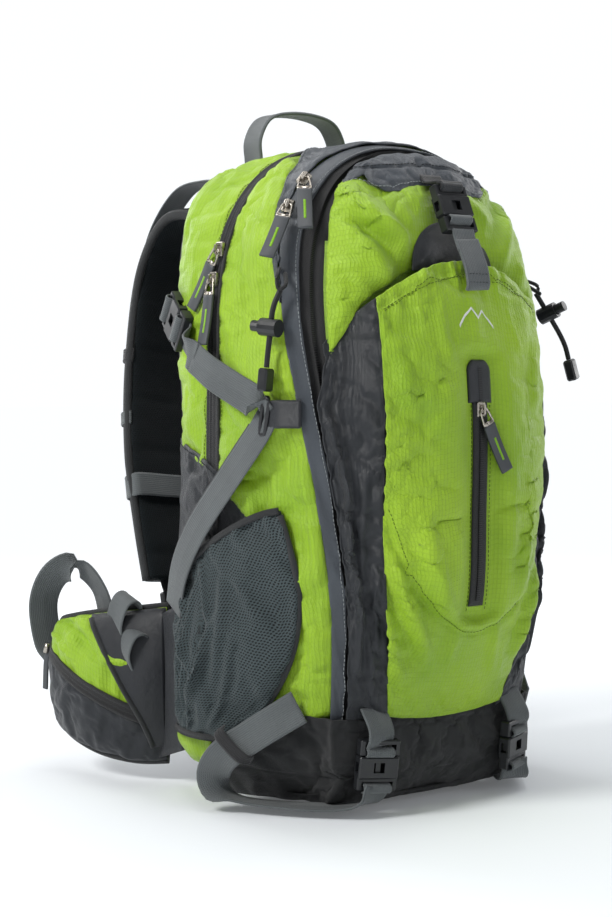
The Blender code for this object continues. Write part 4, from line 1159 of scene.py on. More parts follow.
def build_mesh_pocket(side):
    """A side pocket of knitted mesh, with its bindings."""
    name = hand(side)
    points = pocket_grid(side, 56, 44, 0.0)

    def gathered(p):
        """Soft upright folds that lean towards the pocket's foot."""
        rows, columns = p.shape[:2]
        across, up = shares(rows, columns)
        lines = [(0.62, 0.00, 0.50, 0.66, 0.034, 0.0080), (0.80, 0.02, 0.70, 0.90, 0.022, 0.0056),
                 (0.70, 0.30, 0.86, 0.99, 0.020, 0.0048), (0.42, 0.24, 0.44, 0.84, 0.040, 0.0044),
                 (0.90, 0.06, 0.82, 0.94, 0.018, 0.0046), (0.30, 0.03, 0.36, 0.56, 0.032, 0.0036),
                 (0.52, 0.50, 0.62, 0.99, 0.020, 0.0028)]
        hem = np.exp(-((up - 1) / 0.10) ** 2) * 0.0009 * np.sin(across * 70 + 2 * np.sin(across * 11))
        return folds(across, up, lines) + hem

    panel = cloth_panel(f"mesh_pocket_cloth_{name}", points, POCKET_MESH, seed=41, wrinkle=0.9,
                        crown=0.0004, relief=gathered, slack=0.035, cap=0.0030, pucker=0.8)
    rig.replaces(panel, f"mesh_pocket_{name}")
    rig.sheet(panel, (0.155, 0.22), "gathered", ["front_gusset_cloth"], area=0.0305)
    rim = pocket_grid(side, 56, 44, 0.0006)
    sides = (side, 0, 0)
    front_edge, foot, top = rim[:, 0], rim[0, :], rim[-1, :]
    binding = [(-0.0028, -0.0008), (-0.0022, 0.0008), (0.0022, 0.0008), (0.0028, -0.0008)]
    for part, line in (("front", front_edge), ("foot", foot), ("top", top)):
        line = smooth_path(line[::3], 60)
        inward = unit(rim[28, 22] - line)
        sweep(f"mesh_pocket_{part}_binding_{name}", line + np.array(sides) * 0.0012, inward, binding,
              BINDING, "bag")


# ------------------------------------------------------------------ front

def patch(left, right, low, high, depth, rows, columns):
    """A grid in front of the bag between two sides, given by height, and two ends, given across."""
    s, v = np.linspace(0, 1, columns)[None], np.linspace(0, 1, rows)[:, None]
    z = low(s) + (high(s) - low(s)) * v
    x = left(z) + (right(z) - left(z)) * s
    return np.stack([x, depth(x, z), z], -1)


def top_share(t):
    """How much narrower the band and the recess are as they pass over the top."""
    return np.interp(np.abs(t), [0, 0.78, 0.95, 1], [1, 1, 0.50, 0.42])


def rim_line(width, t):
    """Points of the front, width in from its edge."""
    x, z = inset(t, width * top_share(t))
    return x, z


def band_point(t, width, rise):
    """A point of the band between the bag's front edge and its panel."""
    x, z = rim_line(width, t)
    edge = edge_depth(z)
    lean = np.clip(width / 0.009, 0, 1)
    y = edge * (1 - lean) + (panel_y(x, np.minimum(z, 0.519)) + 0.0015) * lean
    return np.stack([x, y - rise, z], -1)


def build_front_edge():
    """The slate band round the front, and the dark zip channel just inside it."""
    s = np.linspace(0.10, 1.90, 520)
    t = around(s)[:, None]
    width = np.array([-0.0006, 0.0, 0.0012, 0.0030, 0.0050, 0.0066, 0.0074, 0.0077, 0.0070])[None]
    rise = np.array([-0.0005, 0.0006, 0.0014, 0.0018, 0.0021, 0.0022, 0.0019, 0.0009, -0.0006])[None]
    points = band_point(t, np.broadcast_to(width, (520, 9)), rise)
    along = run_length(points, 0)
    wave = 0.0009 * value_noise(along, along * 0 + width * 0.4, 0.022, 51)
    lower = np.clip((0.33 - points[..., 2]) / 0.10, 0, 1)
    wave = wave + lower * 0.0026 * (crumple(along, width + 0 * along, 0.030, 53) - 0.35)
    points[..., 1] -= wave * np.clip(width / 0.004, 0, 1)
    band = sheet_object("front_edge_band", points, SLATE_LIGHT, "bag", 0.0010)
    seam = np.linspace(0.12, 1.88, 400)
    line = band_point(around(seam), np.full(400, 0.0058), 0.004)
    sew(band, line, colour="white", lift=0.001)
    width = np.array([0.0066, 0.0090, 0.0125, 0.0142, 0.0146, 0.0150, 0.0162, 0.0190, 0.0215])[None]
    sink = np.array([0.0005, 0.0045, 0.0058, 0.0040, 0.0034, 0.0040, 0.0058, 0.0040, 0.0004])[None]
    points = band_point(t, np.broadcast_to(width, (520, 9)), -sink)
    sheet_object("front_zip_channel", points, TAPE, "bag", 0.0008)
    teeth = []
    out = np.array((0, -0.0010, 0))
    for value in np.arange(1.0, 1.72, 0.0026):
        here = band_point(around(np.array([value, value + 0.0008])), np.full(2, 0.0146), -0.0032)
        along = unit(here[1] - here[0]) * 0.0006
        teeth.append((here[0], along, unit(np.cross(along, out)) * 0.0014, out))
    zip_teeth("front_zip_teeth", teeth)


CHANNEL = 0.0205  # width of the band and the zip channel together


def face_width(z):
    """Half width of the front inside the zip channel."""
    narrow = np.interp(z, [0.0, 0.43, 0.50], [1, 1, 0.80])
    return np.maximum(edge_width(z) - CHANNEL * narrow, 0.004)


def wavy_edge(x):
    """Height of the scalloped seam between the flap's green cloth and the crown yoke."""
    x = np.abs(x)
    return np.interp(x, [0, 0.02, 0.045, 0.062, 0.078, 0.088, 0.100],
                     [0.4890, 0.4872, 0.4825, 0.4808, 0.4858, 0.4935, 0.4870])


def crown_top(x):
    """Height of the crown yoke's upper edge, just inside the zip channel."""
    width = 0.112
    return 0.497 + 0.0165 * (1 - np.clip(np.abs(x) / width, 0, 1) ** 2.3) ** 0.7


YOKE_HALF = 0.103  # half the width of the crown yoke


def cover_height(x):
    """Height up to which the front pocket and its slate sides lie over the lid's cloth."""
    beside = np.abs(x) - HEM_HALF
    return np.where(beside < 0, hem_height(x), 0.3975 - 0.036 * beside / 0.024)


def build_flap():
    """The green lid cloth and the slate yoke along its crown, with their stitches."""
    def low(s):
        return np.full_like(s, 0.352)

    def high(s):
        return wavy_edge((2 * s - 1) * 0.100)

    points = patch(lambda z: -face_width(z), face_width, low, high,
                   lambda x, z: panel_y(x, z) - 0.0012, 64, 76)

    def pulls(p):
        """Tension folds that run from the crown's corners and the strap towards the pocket's sides."""
        x, z = p[..., 0], p[..., 2]
        lines = [(-0.092, 0.486, -0.026, 0.414, 0.0075, 0.0078),
                 (-0.090, 0.468, -0.050, 0.440, 0.005, 0.0048),
                 (-0.098, 0.474, -0.062, 0.396, 0.008, 0.0056), (0.090, 0.480, 0.050, 0.424, 0.007, 0.0062),
                 (0.092, 0.470, 0.070, 0.395, 0.007, 0.0028), (-0.100, 0.440, -0.070, 0.372, 0.006, 0.0024),
                 (-0.045, 0.470, -0.020, 0.425, 0.005, 0.0018), (0.030, 0.478, 0.052, 0.452, 0.005, 0.0018)]
        cover = cover_height(x)
        sunk = -0.0095 * np.clip((cover - z - 0.001) / 0.006, 0, 1)
        patched = np.clip(1.25 - np.hypot(x / 0.044, (z - 0.418) / 0.041), 0, 0.25) * 4 * (z > 0.40)
        shade = np.clip((cover + 0.018 - z) / 0.018, 0, 1) * 0.0016
        return folds(x, z, lines) * (1 - patched) + sunk - 0.0020 * patched - shade

    def clear(p):
        """No wrinkles where the pocket and its slate sides lie over the flap's foot."""
        x, z = p[..., 0], p[..., 2]
        cover = cover_height(x)
        return np.clip((z - cover + 0.002) / 0.012, 0, 1)

    cloth = cloth_panel("flap_cloth", points, GREEN, None, seed=61, wrinkle=0.95, crown=0.0026,
                        relief=pulls, slack=0.022, cap=0.0032, calm=clear)
    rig.replaces(cloth, "top_flap")
    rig.sheet(cloth, (0.22, 0.16), "stretched", ["crown_yoke"], area=0.0300)
    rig.blend(cloth, "bag", "flap", (0, -0.083, 0.425), (0, -0.083, 0.445))

    def yoke_low(s):
        return wavy_edge((2 * s - 1) * YOKE_HALF) - 0.0015

    def yoke_high(s):
        return crown_top((2 * s - 1) * YOKE_HALF)

    def yoke_width(z):
        return np.minimum(face_width(np.minimum(z, 0.505)) + 0.001, YOKE_HALF)

    def yoke_depth(x, z):
        return panel_y(x, np.minimum(z, 0.5185)) - 0.0046

    points = patch(lambda z: -yoke_width(z), yoke_width, yoke_low, yoke_high, yoke_depth, 16, 84)

    def creased(p):
        """The yoke's own seam, which divides it into an upper and a lower band."""
        x, z = p[..., 0], p[..., 2]
        middle = 0.5 * (wavy_edge(x) + crown_top(x)) + 0.0012
        return -0.0016 * np.exp(-((z - middle) / 0.0012) ** 2) + 0.0007 * np.sin(x * 190 + 3 * np.sin(x * 60))

    yoke = cloth_panel("crown_yoke", points, SLATE_LIGHT, "flap", seed=67, wrinkle=0.5, crown=0.0014,
                       relief=creased, slack=0.02, cap=0.002)
    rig.sheet(yoke, (0.21, 0.035), "stretched", ["flap_cloth"], area=0.0042)
    x = np.linspace(-0.096, 0.096, 90)
    z = wavy_edge(x) + 0.0022
    sew(yoke, np.stack([x, yoke_depth(x, z) - 0.004, z], -1), "flap", "white", lift=0.0)
    z = 0.5 * (wavy_edge(x) + crown_top(x)) + 0.0036
    sew(yoke, np.stack([x, yoke_depth(x, z) - 0.004, z], -1), "flap", "dark", lift=0.0)


POCKET_HALF = {0.060: 0.056, 0.10: 0.067, 0.155: 0.077, 0.20: 0.081, 0.30: 0.083, 0.37: 0.083, 0.43: 0.082}
pocket_half = curve(POCKET_HALF)
HEM_HALF = 0.084  # half the width of the front pocket at its hem
U_SEAM = smooth_path([(-0.084, 0, 0.240), (-0.063, 0, 0.184), (-0.038, 0, 0.154), (0, 0, 0.139),
                      (0.038, 0, 0.154), (0.063, 0, 0.184), (0.084, 0, 0.240)], 300)


def hem_height(x):
    """Height of the front pocket's hem."""
    return 0.4265 - 0.030 * np.clip(np.abs(x) / HEM_HALF, 0, 1) ** 2.0


def seam_distance(x, z):
    """Signed distance to the curved seam on the pocket: above and inside it is positive."""
    gap = np.hypot(x[..., None] - U_SEAM[:, 0], z[..., None] - U_SEAM[:, 2])
    height = np.interp(x, U_SEAM[:, 0], U_SEAM[:, 2])
    return gap.min(-1) * np.where(z > height, 1, -1)


def beside_zip(points):
    """Nought on the pocket's upright zip and one well clear of it."""
    x, z = points[..., 0], points[..., 2]
    past = np.maximum(np.maximum(z - 0.350, 0.157 - z), 0)
    return 1 - np.exp(-(np.hypot(x, past * 2.0) / 0.021) ** 4)


def build_stash_pocket():
    """The green front pocket, with its hem, its stitches and its two slate sides."""
    def low(s):
        return 0.070 + 0.006 * np.abs(2 * s - 1) ** 2

    def high(s):
        return hem_height((2 * s - 1) * HEM_HALF)

    points = patch(lambda z: -pocket_half(z), pocket_half, low, high,
                   lambda x, z: pocket_y(x, z) - 0.0010, 96, 60)

    def shaped(p):
        x, z = p[..., 0], p[..., 2]
        gap = seam_distance(x, z)
        above = np.clip(gap, 0, 1)
        out = 0.0030 * (1 - np.exp(-above / 0.0035)) + 0.0034 * (1 - np.exp(-above / 0.020))
        out -= 0.0016 * np.exp(-(gap / 0.0032) ** 2)
        out = out * np.clip((0.40 - z) / 0.16, 0, 1) * beside_zip(p)
        below = hem_height(x) - z
        gather = (np.exp(-(below / 0.026) ** 2) * 0.0016 * value_noise(x, z * 0.10, 0.0062, 5)
                  + np.exp(-(below / 0.060) ** 2) * 0.0019 * value_noise(x, z * 0.12, 0.0120, 9))
        sewn = -0.0009 * sum(np.exp(-((below - row) / 0.0011) ** 2) for row in (0.0080, 0.0105))
        slot = -0.0010 * (1 - beside_zip(p))
        lines = [(-0.080, 0.204, -0.040, 0.116, 0.0055, 0.0070),
                 (-0.083, 0.165, -0.058, 0.100, 0.006, 0.0056),
                 (0.082, 0.190, 0.055, 0.112, 0.0055, 0.0058),
                 (-0.060, 0.236, -0.032, 0.150, 0.006, 0.0050),
                 (0.055, 0.240, 0.040, 0.160, 0.006, 0.0028), (-0.015, 0.150, -0.020, 0.112, 0.006, 0.0018),
                 (-0.078, 0.380, -0.062, 0.300, 0.006, 0.0022), (0.074, 0.375, 0.060, 0.300, 0.006, 0.0022),
                 (0.020, 0.160, 0.034, 0.098, 0.005, 0.0020), (-0.040, 0.395, -0.030, 0.345, 0.005, 0.0014)]
        return out + (gather + folds(x, z, lines)) * beside_zip(p) + sewn + slot

    front = cloth_panel("stash_pocket_cloth", points, GREEN, seed=71, wrinkle=0.95, crown=0.0012,
                        relief=shaped, slack=0.014, cap=0.0026, calm=beside_zip, fine=3)
    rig.replaces(front, "stash_pocket", "front_panel")
    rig.sheet(front, (0.180, 0.37), "stretched", ["front_panel_lining"], area=0.0610)
    x = np.linspace(-0.082, 0.082, 100)
    for below in (0.0080, 0.0105):
        z = hem_height(x) - below
        sew(front, np.stack([x, pocket_y(x, z) - 0.008, z], -1), colour="olive", lift=0.0)
    line = U_SEAM + np.array((0, 0, -0.0016))
    sew(front, np.stack([line[:, 0], pocket_y(line[:, 0], line[:, 2]) - 0.008, line[:, 2]], -1),
        colour="olive", lift=0.0)

    for side in (1, -1):
        def inner(z):
            return side * (pocket_half(z) - 0.0012)

        def outer(z):
            reach = np.clip((0.350 - z) / 0.035, 0, 1)
            return side * (face_width(z) + 0.0030 + reach * (CHANNEL - 0.0095))

        def foot(s):
            return 0.072 + 0.004 * s

        def slant(s):
            return 0.3975 - 0.036 * s

        def depth(x, z):
            a, b = np.abs(inner(z)), np.abs(outer(z))
            share = np.clip((np.abs(x) - a) / np.maximum(b - a, 1e-4), 0, 1)
            deep = pocket_y(a, z) - 0.0006
            shallow = panel_y(b, z) - 0.0006 - 0.0030 * np.clip((0.350 - z) / 0.035, 0, 1)
            return deep + (shallow - deep) * (1 - (1 - share) ** 1.7)

        points = patch(inner, outer, foot, slant, depth, 90, 22)

        def pleats(p):
            """Long soft folds down the pocket's slate sides, deepest near the foot."""
            x, z = p[..., 0], p[..., 2]
            share = (np.abs(x) - np.abs(inner(z))) / np.maximum(np.abs(outer(z)) - np.abs(inner(z)), 1e-4)
            lines = [(0.88, 0.320, 0.62, 0.230, 0.09, 0.0046), (0.60, 0.290, 0.84, 0.190, 0.08, 0.0044),
                     (0.86, 0.235, 0.60, 0.140, 0.09, 0.0050), (0.62, 0.190, 0.80, 0.100, 0.09, 0.0044),
                     (0.30, 0.270, 0.52, 0.180, 0.10, 0.0030), (0.48, 0.150, 0.34, 0.085, 0.10, 0.0032),
                     (0.20, 0.200, 0.30, 0.120, 0.08, 0.0022)]
            total = np.zeros_like(x)
            for a, za, b, zb, wide, high in lines:
                along = np.clip((za - z) / (za - zb), -0.2, 1.2)
                centre = a + (b - a) * along
                fade = np.clip(1 - np.abs(2 * along - 1) ** 3, 0, 1)
                total += high * fade * np.exp(-((share - centre) / wide) ** 2)
            rim = np.minimum(share, 1 - share)
            return total * (1 - np.exp(-(np.clip(rim, 0, 1) / 0.10) ** 2))

        name = "right" if side > 0 else "left"
        gore = cloth_panel(f"stash_pocket_side_{name}", points, SLATE, seed=81 + side, wrinkle=0.7,
                           crown=0.0016, relief=pleats, slack=0.02, cap=0.0018, pucker=0.2)
        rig.sheet(gore, (0.040, 0.33), "stretched", ["stash_pocket_cloth"], area=0.0100)

    # The front panel behind the pocket takes the darker copy of the green: painted shade where the pocket covers it.
    lining = patch(lambda z: -face_width(z), face_width, lambda s: np.full_like(s, 0.068),
                   lambda s: np.full_like(s, 0.440), lambda x, z: panel_y(x, z) + 0.0016, 60, 40)
    panel = sheet_object("front_panel_lining", lining, GREEN_PAINTED_SHADE, "bag", 0.001)
    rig.sheet(panel, (0.22, 0.39), "stretched", ["front_gusset_cloth"], area=0.078)


MARK_HALF = 0.0011  # half the height of the mark's stroke


def build_mark():
    """A small plain white mountain outline printed on the pocket."""
    cloth = bpy.data.objects["stash_pocket_cloth"]
    ridge_x, ridge_z = (-0.019, -0.006, 0.001, 0.007, 0.019), (0.377, 0.391, 0.383, 0.389, 0.377)
    along = np.linspace(0, len(ridge_x) - 1, 90)
    x, z = (np.interp(along, np.arange(len(ridge_x)), ridge) for ridge in (ridge_x, ridge_z))
    line = np.stack([x, pocket_y(x, z) - 0.012, z], -1)
    edges = []
    for shift in (-MARK_HALF, MARK_HALF):
        places, normals = snap(cloth, line + np.array((0, 0, shift)))
        edges.append(places + normals * 0.0004)
    sheet_object("pocket_mark", np.stack(edges, 0), WHITE_PRINT, "bag", 0.0002)


def build_pocket_zip():
    """The upright zip of the front pocket: its garage, tape, coil and stitches."""
    def depth(x, z):
        return pocket_y(x, z) - 0.0018

    parts = (("pocket_zip_garage", 0.0125, 0.317, 0.350, SLATE_DARK, 0.0016),
             ("pocket_zip_tape", 0.0078, 0.160, 0.318, TAPE, 0.0008))
    for name, half, low, high, stuff, rise in parts:
        def left(z):
            top = np.clip((z - (high - 0.009)) / 0.009, 0, 1) if half > 0.010 else 0 * z
            return -half * np.sqrt(np.maximum(1 - top ** 2 * 0.75, 0.05))

        points = patch(left, lambda z: -left(z), lambda s: np.full_like(s, low),
                       lambda s: np.full_like(s, high), depth, 60, 14)
        edge, _, _ = rim_distance(points)
        points[..., 1] -= rise * (1 - np.exp(-edge / 0.0010)) + 0.0006
        sheet_object(name, points, stuff, "bag", 0.0008)
    wide, along, out = np.array(((0.0019, 0, 0), (0, 0, 0.0005), (0, -0.0009, 0)))
    zip_teeth("pocket_zip_teeth", [(np.array((0, float(depth(0.0, z)) - 0.0016, z)), wide, along, out)
                                   for z in np.arange(0.165, 0.345, 0.0017)])
    for x in (-0.0100, 0.0100):
        line = np.stack([np.full(50, x), pocket_y(np.full(50, x), np.linspace(0.156, 0.318, 50)) - 0.0030,
                         np.linspace(0.156, 0.318, 50)], -1)
        normals = np.broadcast_to(np.array((0, -1.0, 0)), line.shape)
        stitch(line, normals, "bag", "dark")


def build_base():
    """The black base: a skirt round the front and flanks that turns under, and the underside."""
    angle = np.linspace(-1, 1, 150)
    rows = np.linspace(0, 1, 40)[:, None]
    wide = np.abs(angle)
    top = skirt_top(wide)
    z = 0.0040 + (top[None] - 0.0040) * rows
    inward = (1 - np.clip(z / 0.045, 0, 1)) ** 2.2
    front_x = np.clip(wide / 0.60, 0, 1)
    flank = np.clip((wide - 0.60) / 0.40, 0, 1)
    width = edge_width(np.maximum(z, 0.030))
    face = panel_y(front_x * width, np.maximum(z, 0.066))
    y = face * (1 - flank) + 0.036 * flank
    x = np.sign(angle) * np.where(flank > 0, side_x(np.maximum(y, edge_depth(z)), np.maximum(z, 0.030)),
                                  front_x * width)
    x = x * (1 - 0.16 * inward)
    y = y + inward * 0.028 - 0.0030
    x = x + np.sign(angle) * 0.0060 * np.clip((wide - 0.5) / 0.1, 0, 1)
    points = np.stack([x, y, z], -1)

    def slumped(p):
        x, z = p[..., 0], p[..., 2]
        lines = [(-0.075, 0.066, -0.020, 0.022, 0.006, 0.0036),
                 (-0.040, 0.070, 0.010, 0.030, 0.006, 0.0030),
                 (0.000, 0.070, 0.050, 0.026, 0.006, 0.0034), (0.030, 0.062, 0.075, 0.040, 0.005, 0.0026),
                 (-0.090, 0.050, -0.055, 0.020, 0.006, 0.0028)]
        return folds(x, z, lines)

    skirt = cloth_panel("base_skirt", points, BASE, seed=91, wrinkle=0.9, crown=0.0010, relief=slumped,
                        slack=0.025, cap=0.0028)
    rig.replaces(skirt, "base_panel")
    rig.sheet(skirt, (0.33, 0.085), "stretched", ["front_gusset_cloth"], area=0.0215)
    s = np.linspace(-1, 1, 60)[None]
    v = np.linspace(0, 1, 40)[:, None]
    y = -0.062 + 0.168 * v
    half = 0.104 * (1 - np.abs(2 * v - 1) ** 4 * 0.28)
    z = 0.0016 + 0.0090 * np.abs(s) ** 3 + 0.0080 * np.abs(2 * v - 1) ** 4
    points = np.stack([s * half, y + 0 * s, z], -1)
    sheet_object("base_underside", points, BASE, "bag", 0.0012)


build_gussets()
build_crown_band()
build_main_zip()
for side in (1, -1):
    side_patch(side)
    build_mesh_pocket(side)
build_front_edge()
build_flap()
build_stash_pocket()
build_mark()
build_pocket_zip()
build_base()


# ------------------------------------------------------------------ straps

def placed(position, up, out):
    """A matrix at a place whose local +Z is up and +Y leans to out."""
    z = Vector(up).normalized()
    y = (Vector(out) - z * Vector(out).dot(z)).normalized()
    return Matrix.Translation(position) @ Matrix((y.cross(z), y, z)).transposed().to_4x4()


def mirrored(points, side):
    """Points of the right side taken to the given side."""
    return [(side * x, y, z) for x, y, z in points]


def strap(name, route, across, stuff, body, width=0.0250, thick=0.0018, spacing=0.004, nodes=()):
    """Webbing along a route. across is one direction, or one for each point of the route."""
    route = np.asarray(route, float)
    across = unit(np.broadcast_to(np.asarray(across, float), route.shape))
    length = np.linalg.norm(np.diff(route, axis=0), axis=1).sum()
    both = smooth_path(np.concatenate([route, across * 1e-4], 1), max(8, int(length / spacing)))
    piece = sweep(name, both[:, :3], both[:, 3:], web_profile(width, thick), stuff, body)
    if nodes:
        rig.replaces(piece, *nodes)
    return piece


LID_BUCKLE = placed((0, -0.0930, 0.4600), (0, 0.42, 1), (0, -1, 0.42))


def side_buckle(side):
    """The place of a side strap's buckle."""
    return placed((side * 0.1385, 0.080, 0.377), (-0.20 * side, 0.72, 0.55), (side, 0.20, 0))


def bottom_buckle(side):
    """The place of a bottom strap's buckle."""
    return placed((side * 0.0735, -0.0860, 0.0480), (0.04 * side, 0.10, -1), (0.32 * side, -1, -0.10))


def at(matrix, *points):
    """Points given in a local frame, taken to the scene."""
    return [tuple(matrix @ Vector(p)) for p in points]


def bar_wrap(name, matrix, bar_z, stuff, body, width=0.0235, reach=0.0038):
    """Webbing folded round a buckle's bar."""
    route = [(0, 0.0016, bar_z - reach), (0, 0.0052, bar_z - reach * 0.6), (0, 0.0064, bar_z),
             (0, 0.0052, bar_z + reach * 0.6), (0, 0.0012, bar_z + reach * 0.9)]
    across = tuple(matrix.to_3x3() @ Vector((1, 0, 0)))
    return strap(name, at(matrix, *route), across, stuff, body, width, 0.0016, 0.0012)


def build_lid_strap():
    """The lid's strap: its tab, folds, webbing and half-round patch."""
    tab = [(0, float(panel_y(0, 0.494)) - 0.0055, 0.4945), (0, float(panel_y(0, 0.488)) - 0.0085, 0.4885),
           *at(LID_BUCKLE, (0, 0.0046, 0.0285), (0, 0.0040, 0.0240), (0, 0.0004, 0.0220))]
    strap("lid_tab", tab, (1, 0, 0), BLACK_WEBBING, "flap", 0.0235, 0.0018, 0.002)
    bar_wrap("lid_tab_fold", LID_BUCKLE, 0.0250, DARK_WEBBING, "flap", 0.0232)
    bar_wrap("lid_strap_fold", LID_BUCKLE, -0.0030, WEBBING, "lid_plug", 0.0232)
    upper = [*at(LID_BUCKLE, (0, 0.0002, -0.0072), (0, 0.0036, -0.0118)), (0, -0.1030, 0.4440),
             (0, -0.1080, 0.4335)]
    strap("lid_strap_upper", upper, (1, 0, 0), WEBBING, "lid_plug", 0.0235, 0.0016, 0.002)
    lower = [(0.0010, -0.1040, 0.4425), (0.0014, -0.1092, 0.4320), (0.0020, -0.1140, 0.4200),
             (0.0026, -0.1158, 0.4080), (0.0028, -0.1140, 0.4040)]
    piece = strap("lid_strap_webbing", lower, (1, 0, 0.06), WEBBING, "bag", 0.0245, 0.0026, 0.002,
                  ("lid_strap",))
    for height in (0.416, 0.4095):
        line = np.array([(-0.0085, -0.1165, height), (0.0125, -0.1165, height)])
        places, normals = snap(piece, smooth_path(line, 12))
        stitch(places, normals, "bag", "dark")
    z = np.linspace(0.418, 0.4575, 60)
    half = 0.0425 * np.sqrt(np.clip(1 - ((z - 0.418) / 0.0395) ** 2, 0.0, 1))

    def width(height):
        return np.interp(height, z, np.maximum(half, 0.004))

    points = patch(lambda h: -width(h), width, lambda s: np.full_like(s, 0.418),
                   lambda s: np.full_like(s, 0.4570), lambda x, h: panel_y(x, h) - 0.0060, 26, 30)
    moon = cloth_panel("lid_strap_patch", points, SLATE_DARK, None, seed=101, wrinkle=0.35, crown=0.0010,
                       settle=False)
    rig.sheet(moon, (0.085, 0.040), "stretched", ["flap_cloth"], area=0.0027)
    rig.blend(moon, "bag", "flap", (0, -0.083, 0.425), (0, -0.083, 0.445))


SIDE_ROUTE = ((0.1500, 0.046, 0.3520), (0.1490, 0.025, 0.340), (0.1455, 0.000, 0.328),
              (0.1425, -0.024, 0.317), (0.1412, -0.035, 0.306), (0.1440, -0.026, 0.292),
              (0.1500, 0.004, 0.256), (0.1550, 0.036, 0.218), (0.1525, 0.062, 0.184), (0.1425, 0.084, 0.150))


def build_side_straps(side):
    """A flank's compression strap, with its links and tabs."""
    word = hand(side)
    across = [(0, 0.45, 1)] * 3 + [(0, 0.75, 0.7), (0, 1, 0.3)] + [(0, 0.74, 0.68)] * 5
    upper = mirrored(SIDE_ROUTE[:5], side)
    strap(f"side_strap_upper_{word}", upper, [(x, y, z) for x, y, z in across[:5]], WEBBING, "bag", 0.0255,
          0.0018, nodes=(f"side_strap_{word}",))
    strap(f"side_strap_lower_{word}", mirrored(SIDE_ROUTE[4:], side), [(0, 0.9, 0.5)] + across[5:], WEBBING,
          "bag", 0.0245)
    inner = [(side * (abs(x) - 0.0030), y + 0.0035, z + 0.0015)
             for x, y, z in mirrored(SIDE_ROUTE[5:], side)]
    strap(f"side_strap_return_{word}", inner, across[5:], DARK_WEBBING, "bag", 0.0245)
    frame_here = side_buckle(side)
    start = at(frame_here, (0, 0.0002, -0.0072))[0]
    link = [start, *at(frame_here, (0, -0.0022, -0.0140)), (side * 0.1490, 0.0560, 0.3580),
            (side * 0.1500, 0.0440, 0.3512)]
    x_axis = tuple(frame_here.to_3x3() @ Vector((1, 0, 0)))
    turn = np.sign(np.dot(x_axis, (0, 0.45, 1)))
    bridge = strap(f"side_strap_link_{word}", link,
                   [tuple(turn * c for c in x_axis)] * 2 + [(0, 0.45, 1)] * 2, WEBBING,
                   None, 0.0250, 0.0018, 0.002)
    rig.blend(bridge, "bag", f"side_plug_{word}", (side * 0.1500, 0.046, 0.352), start)
    bar_wrap(f"side_strap_fold_{word}", frame_here, -0.0030, WEBBING, f"side_plug_{word}")
    bar_wrap(f"side_anchor_fold_{word}", frame_here, 0.0250, WEBBING, "bag")
    anchor = [*at(frame_here, (0, 0.0010, 0.0215), (0, -0.0020, 0.0280)), (side * 0.128, 0.1015, 0.3955)]
    strap(f"side_anchor_{word}", anchor, x_axis, WEBBING, "bag", 0.0235, 0.0018, 0.002)
    tab = [(side * (float(edge_width(0.310)) + 0.0010), -0.0600, 0.3090), (side * 0.1395, -0.0480, 0.3090),
           (side * 0.1412, -0.0350, 0.3085)]
    strap(f"side_loop_tab_{word}", tab, (0, 0.1, 1), SLATE_DARK, "bag", 0.0215, 0.0030, 0.002)
    corner = placed((side * 0.1432, -0.0350, 0.3065), (0, -0.2, 1), (side, 0, 0))
    loop = at(corner, (-0.0030, 0, -0.0125), (0.0030, 0, -0.0125), (0.0030, 0, 0.0125),
              (-0.0030, 0, 0.0125))
    tube(f"side_loop_ring_{word}", smooth_path(loop + [loop[0]], 30)[:-1], 0.0017, PLASTIC, "bag", 8, True)


BOTTOM_ROUTE = ((0.122, -0.050, 0.086), (0.1440, -0.020, 0.062), (0.1560, 0.003, 0.043),
                (0.1545, 0.014, 0.023),
                (0.140, 0.002, 0.0090), (0.112, -0.040, 0.0065), (0.090, -0.066, 0.0072),
                (0.0785, -0.0810, 0.0125), (0.0740, -0.0868, 0.0240))


def build_bottom_straps(side):
    """A tool loop round a bottom corner, with its keeper."""
    word = hand(side)
    across = [(0.3, 0.75, 0.6), (0.2, 0.8, 0.6), (0.4, 0.9, 0.35), (0.8, 0.6, 0.1), (0.9, -0.5, 0.1),
              (0.85, -0.5, 0), (0.9, -0.45, 0), (1, -0.15, 0), (1, 0, 0)]
    across = [(x * side, y, z) for x, y, z in across]
    strap(f"tool_loop_{word}", mirrored(BOTTOM_ROUTE, side), across, WEBBING, "bag", 0.0270, 0.0020, 0.003,
          (f"bottom_strap_{word}",))
    keeper = [(0.1462, -0.0224, 0.0432), (0.1540, -0.0176, 0.0468), (0.1585, 0.0016, 0.0612),
              (0.1530, 0.0070, 0.0655)]
    strap(f"tool_loop_keeper_{word}", mirrored(keeper, side), (0.39 * side, 0.71, -0.59), BLACK_WEBBING,
          "bag", 0.0100, 0.0016, 0.002)
    here = bottom_buckle(side)
    bar_wrap(f"mat_strap_fold_{word}", here, 0.0250, WEBBING, "bag")
    bar_wrap(f"mat_tab_fold_{word}", here, -0.0030, WEBBING, f"mat_plug_{word}")
    top = (side * 0.0722, float(panel_y(0.0722, 0.080)) - 0.0040, 0.0835)
    route = [*at(here, (0, 0.0006, -0.0074), (0, 0.0034, -0.0135)), (side * 0.0728, -0.0885, 0.0700), top]
    tab = strap(f"mat_tab_{word}", route, (side, 0, 0), WEBBING, None, 0.0250, 0.0022, 0.002)
    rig.blend(tab, f"mat_plug_{word}", "bag", at(here, (0, 0, -0.0130))[0], top)


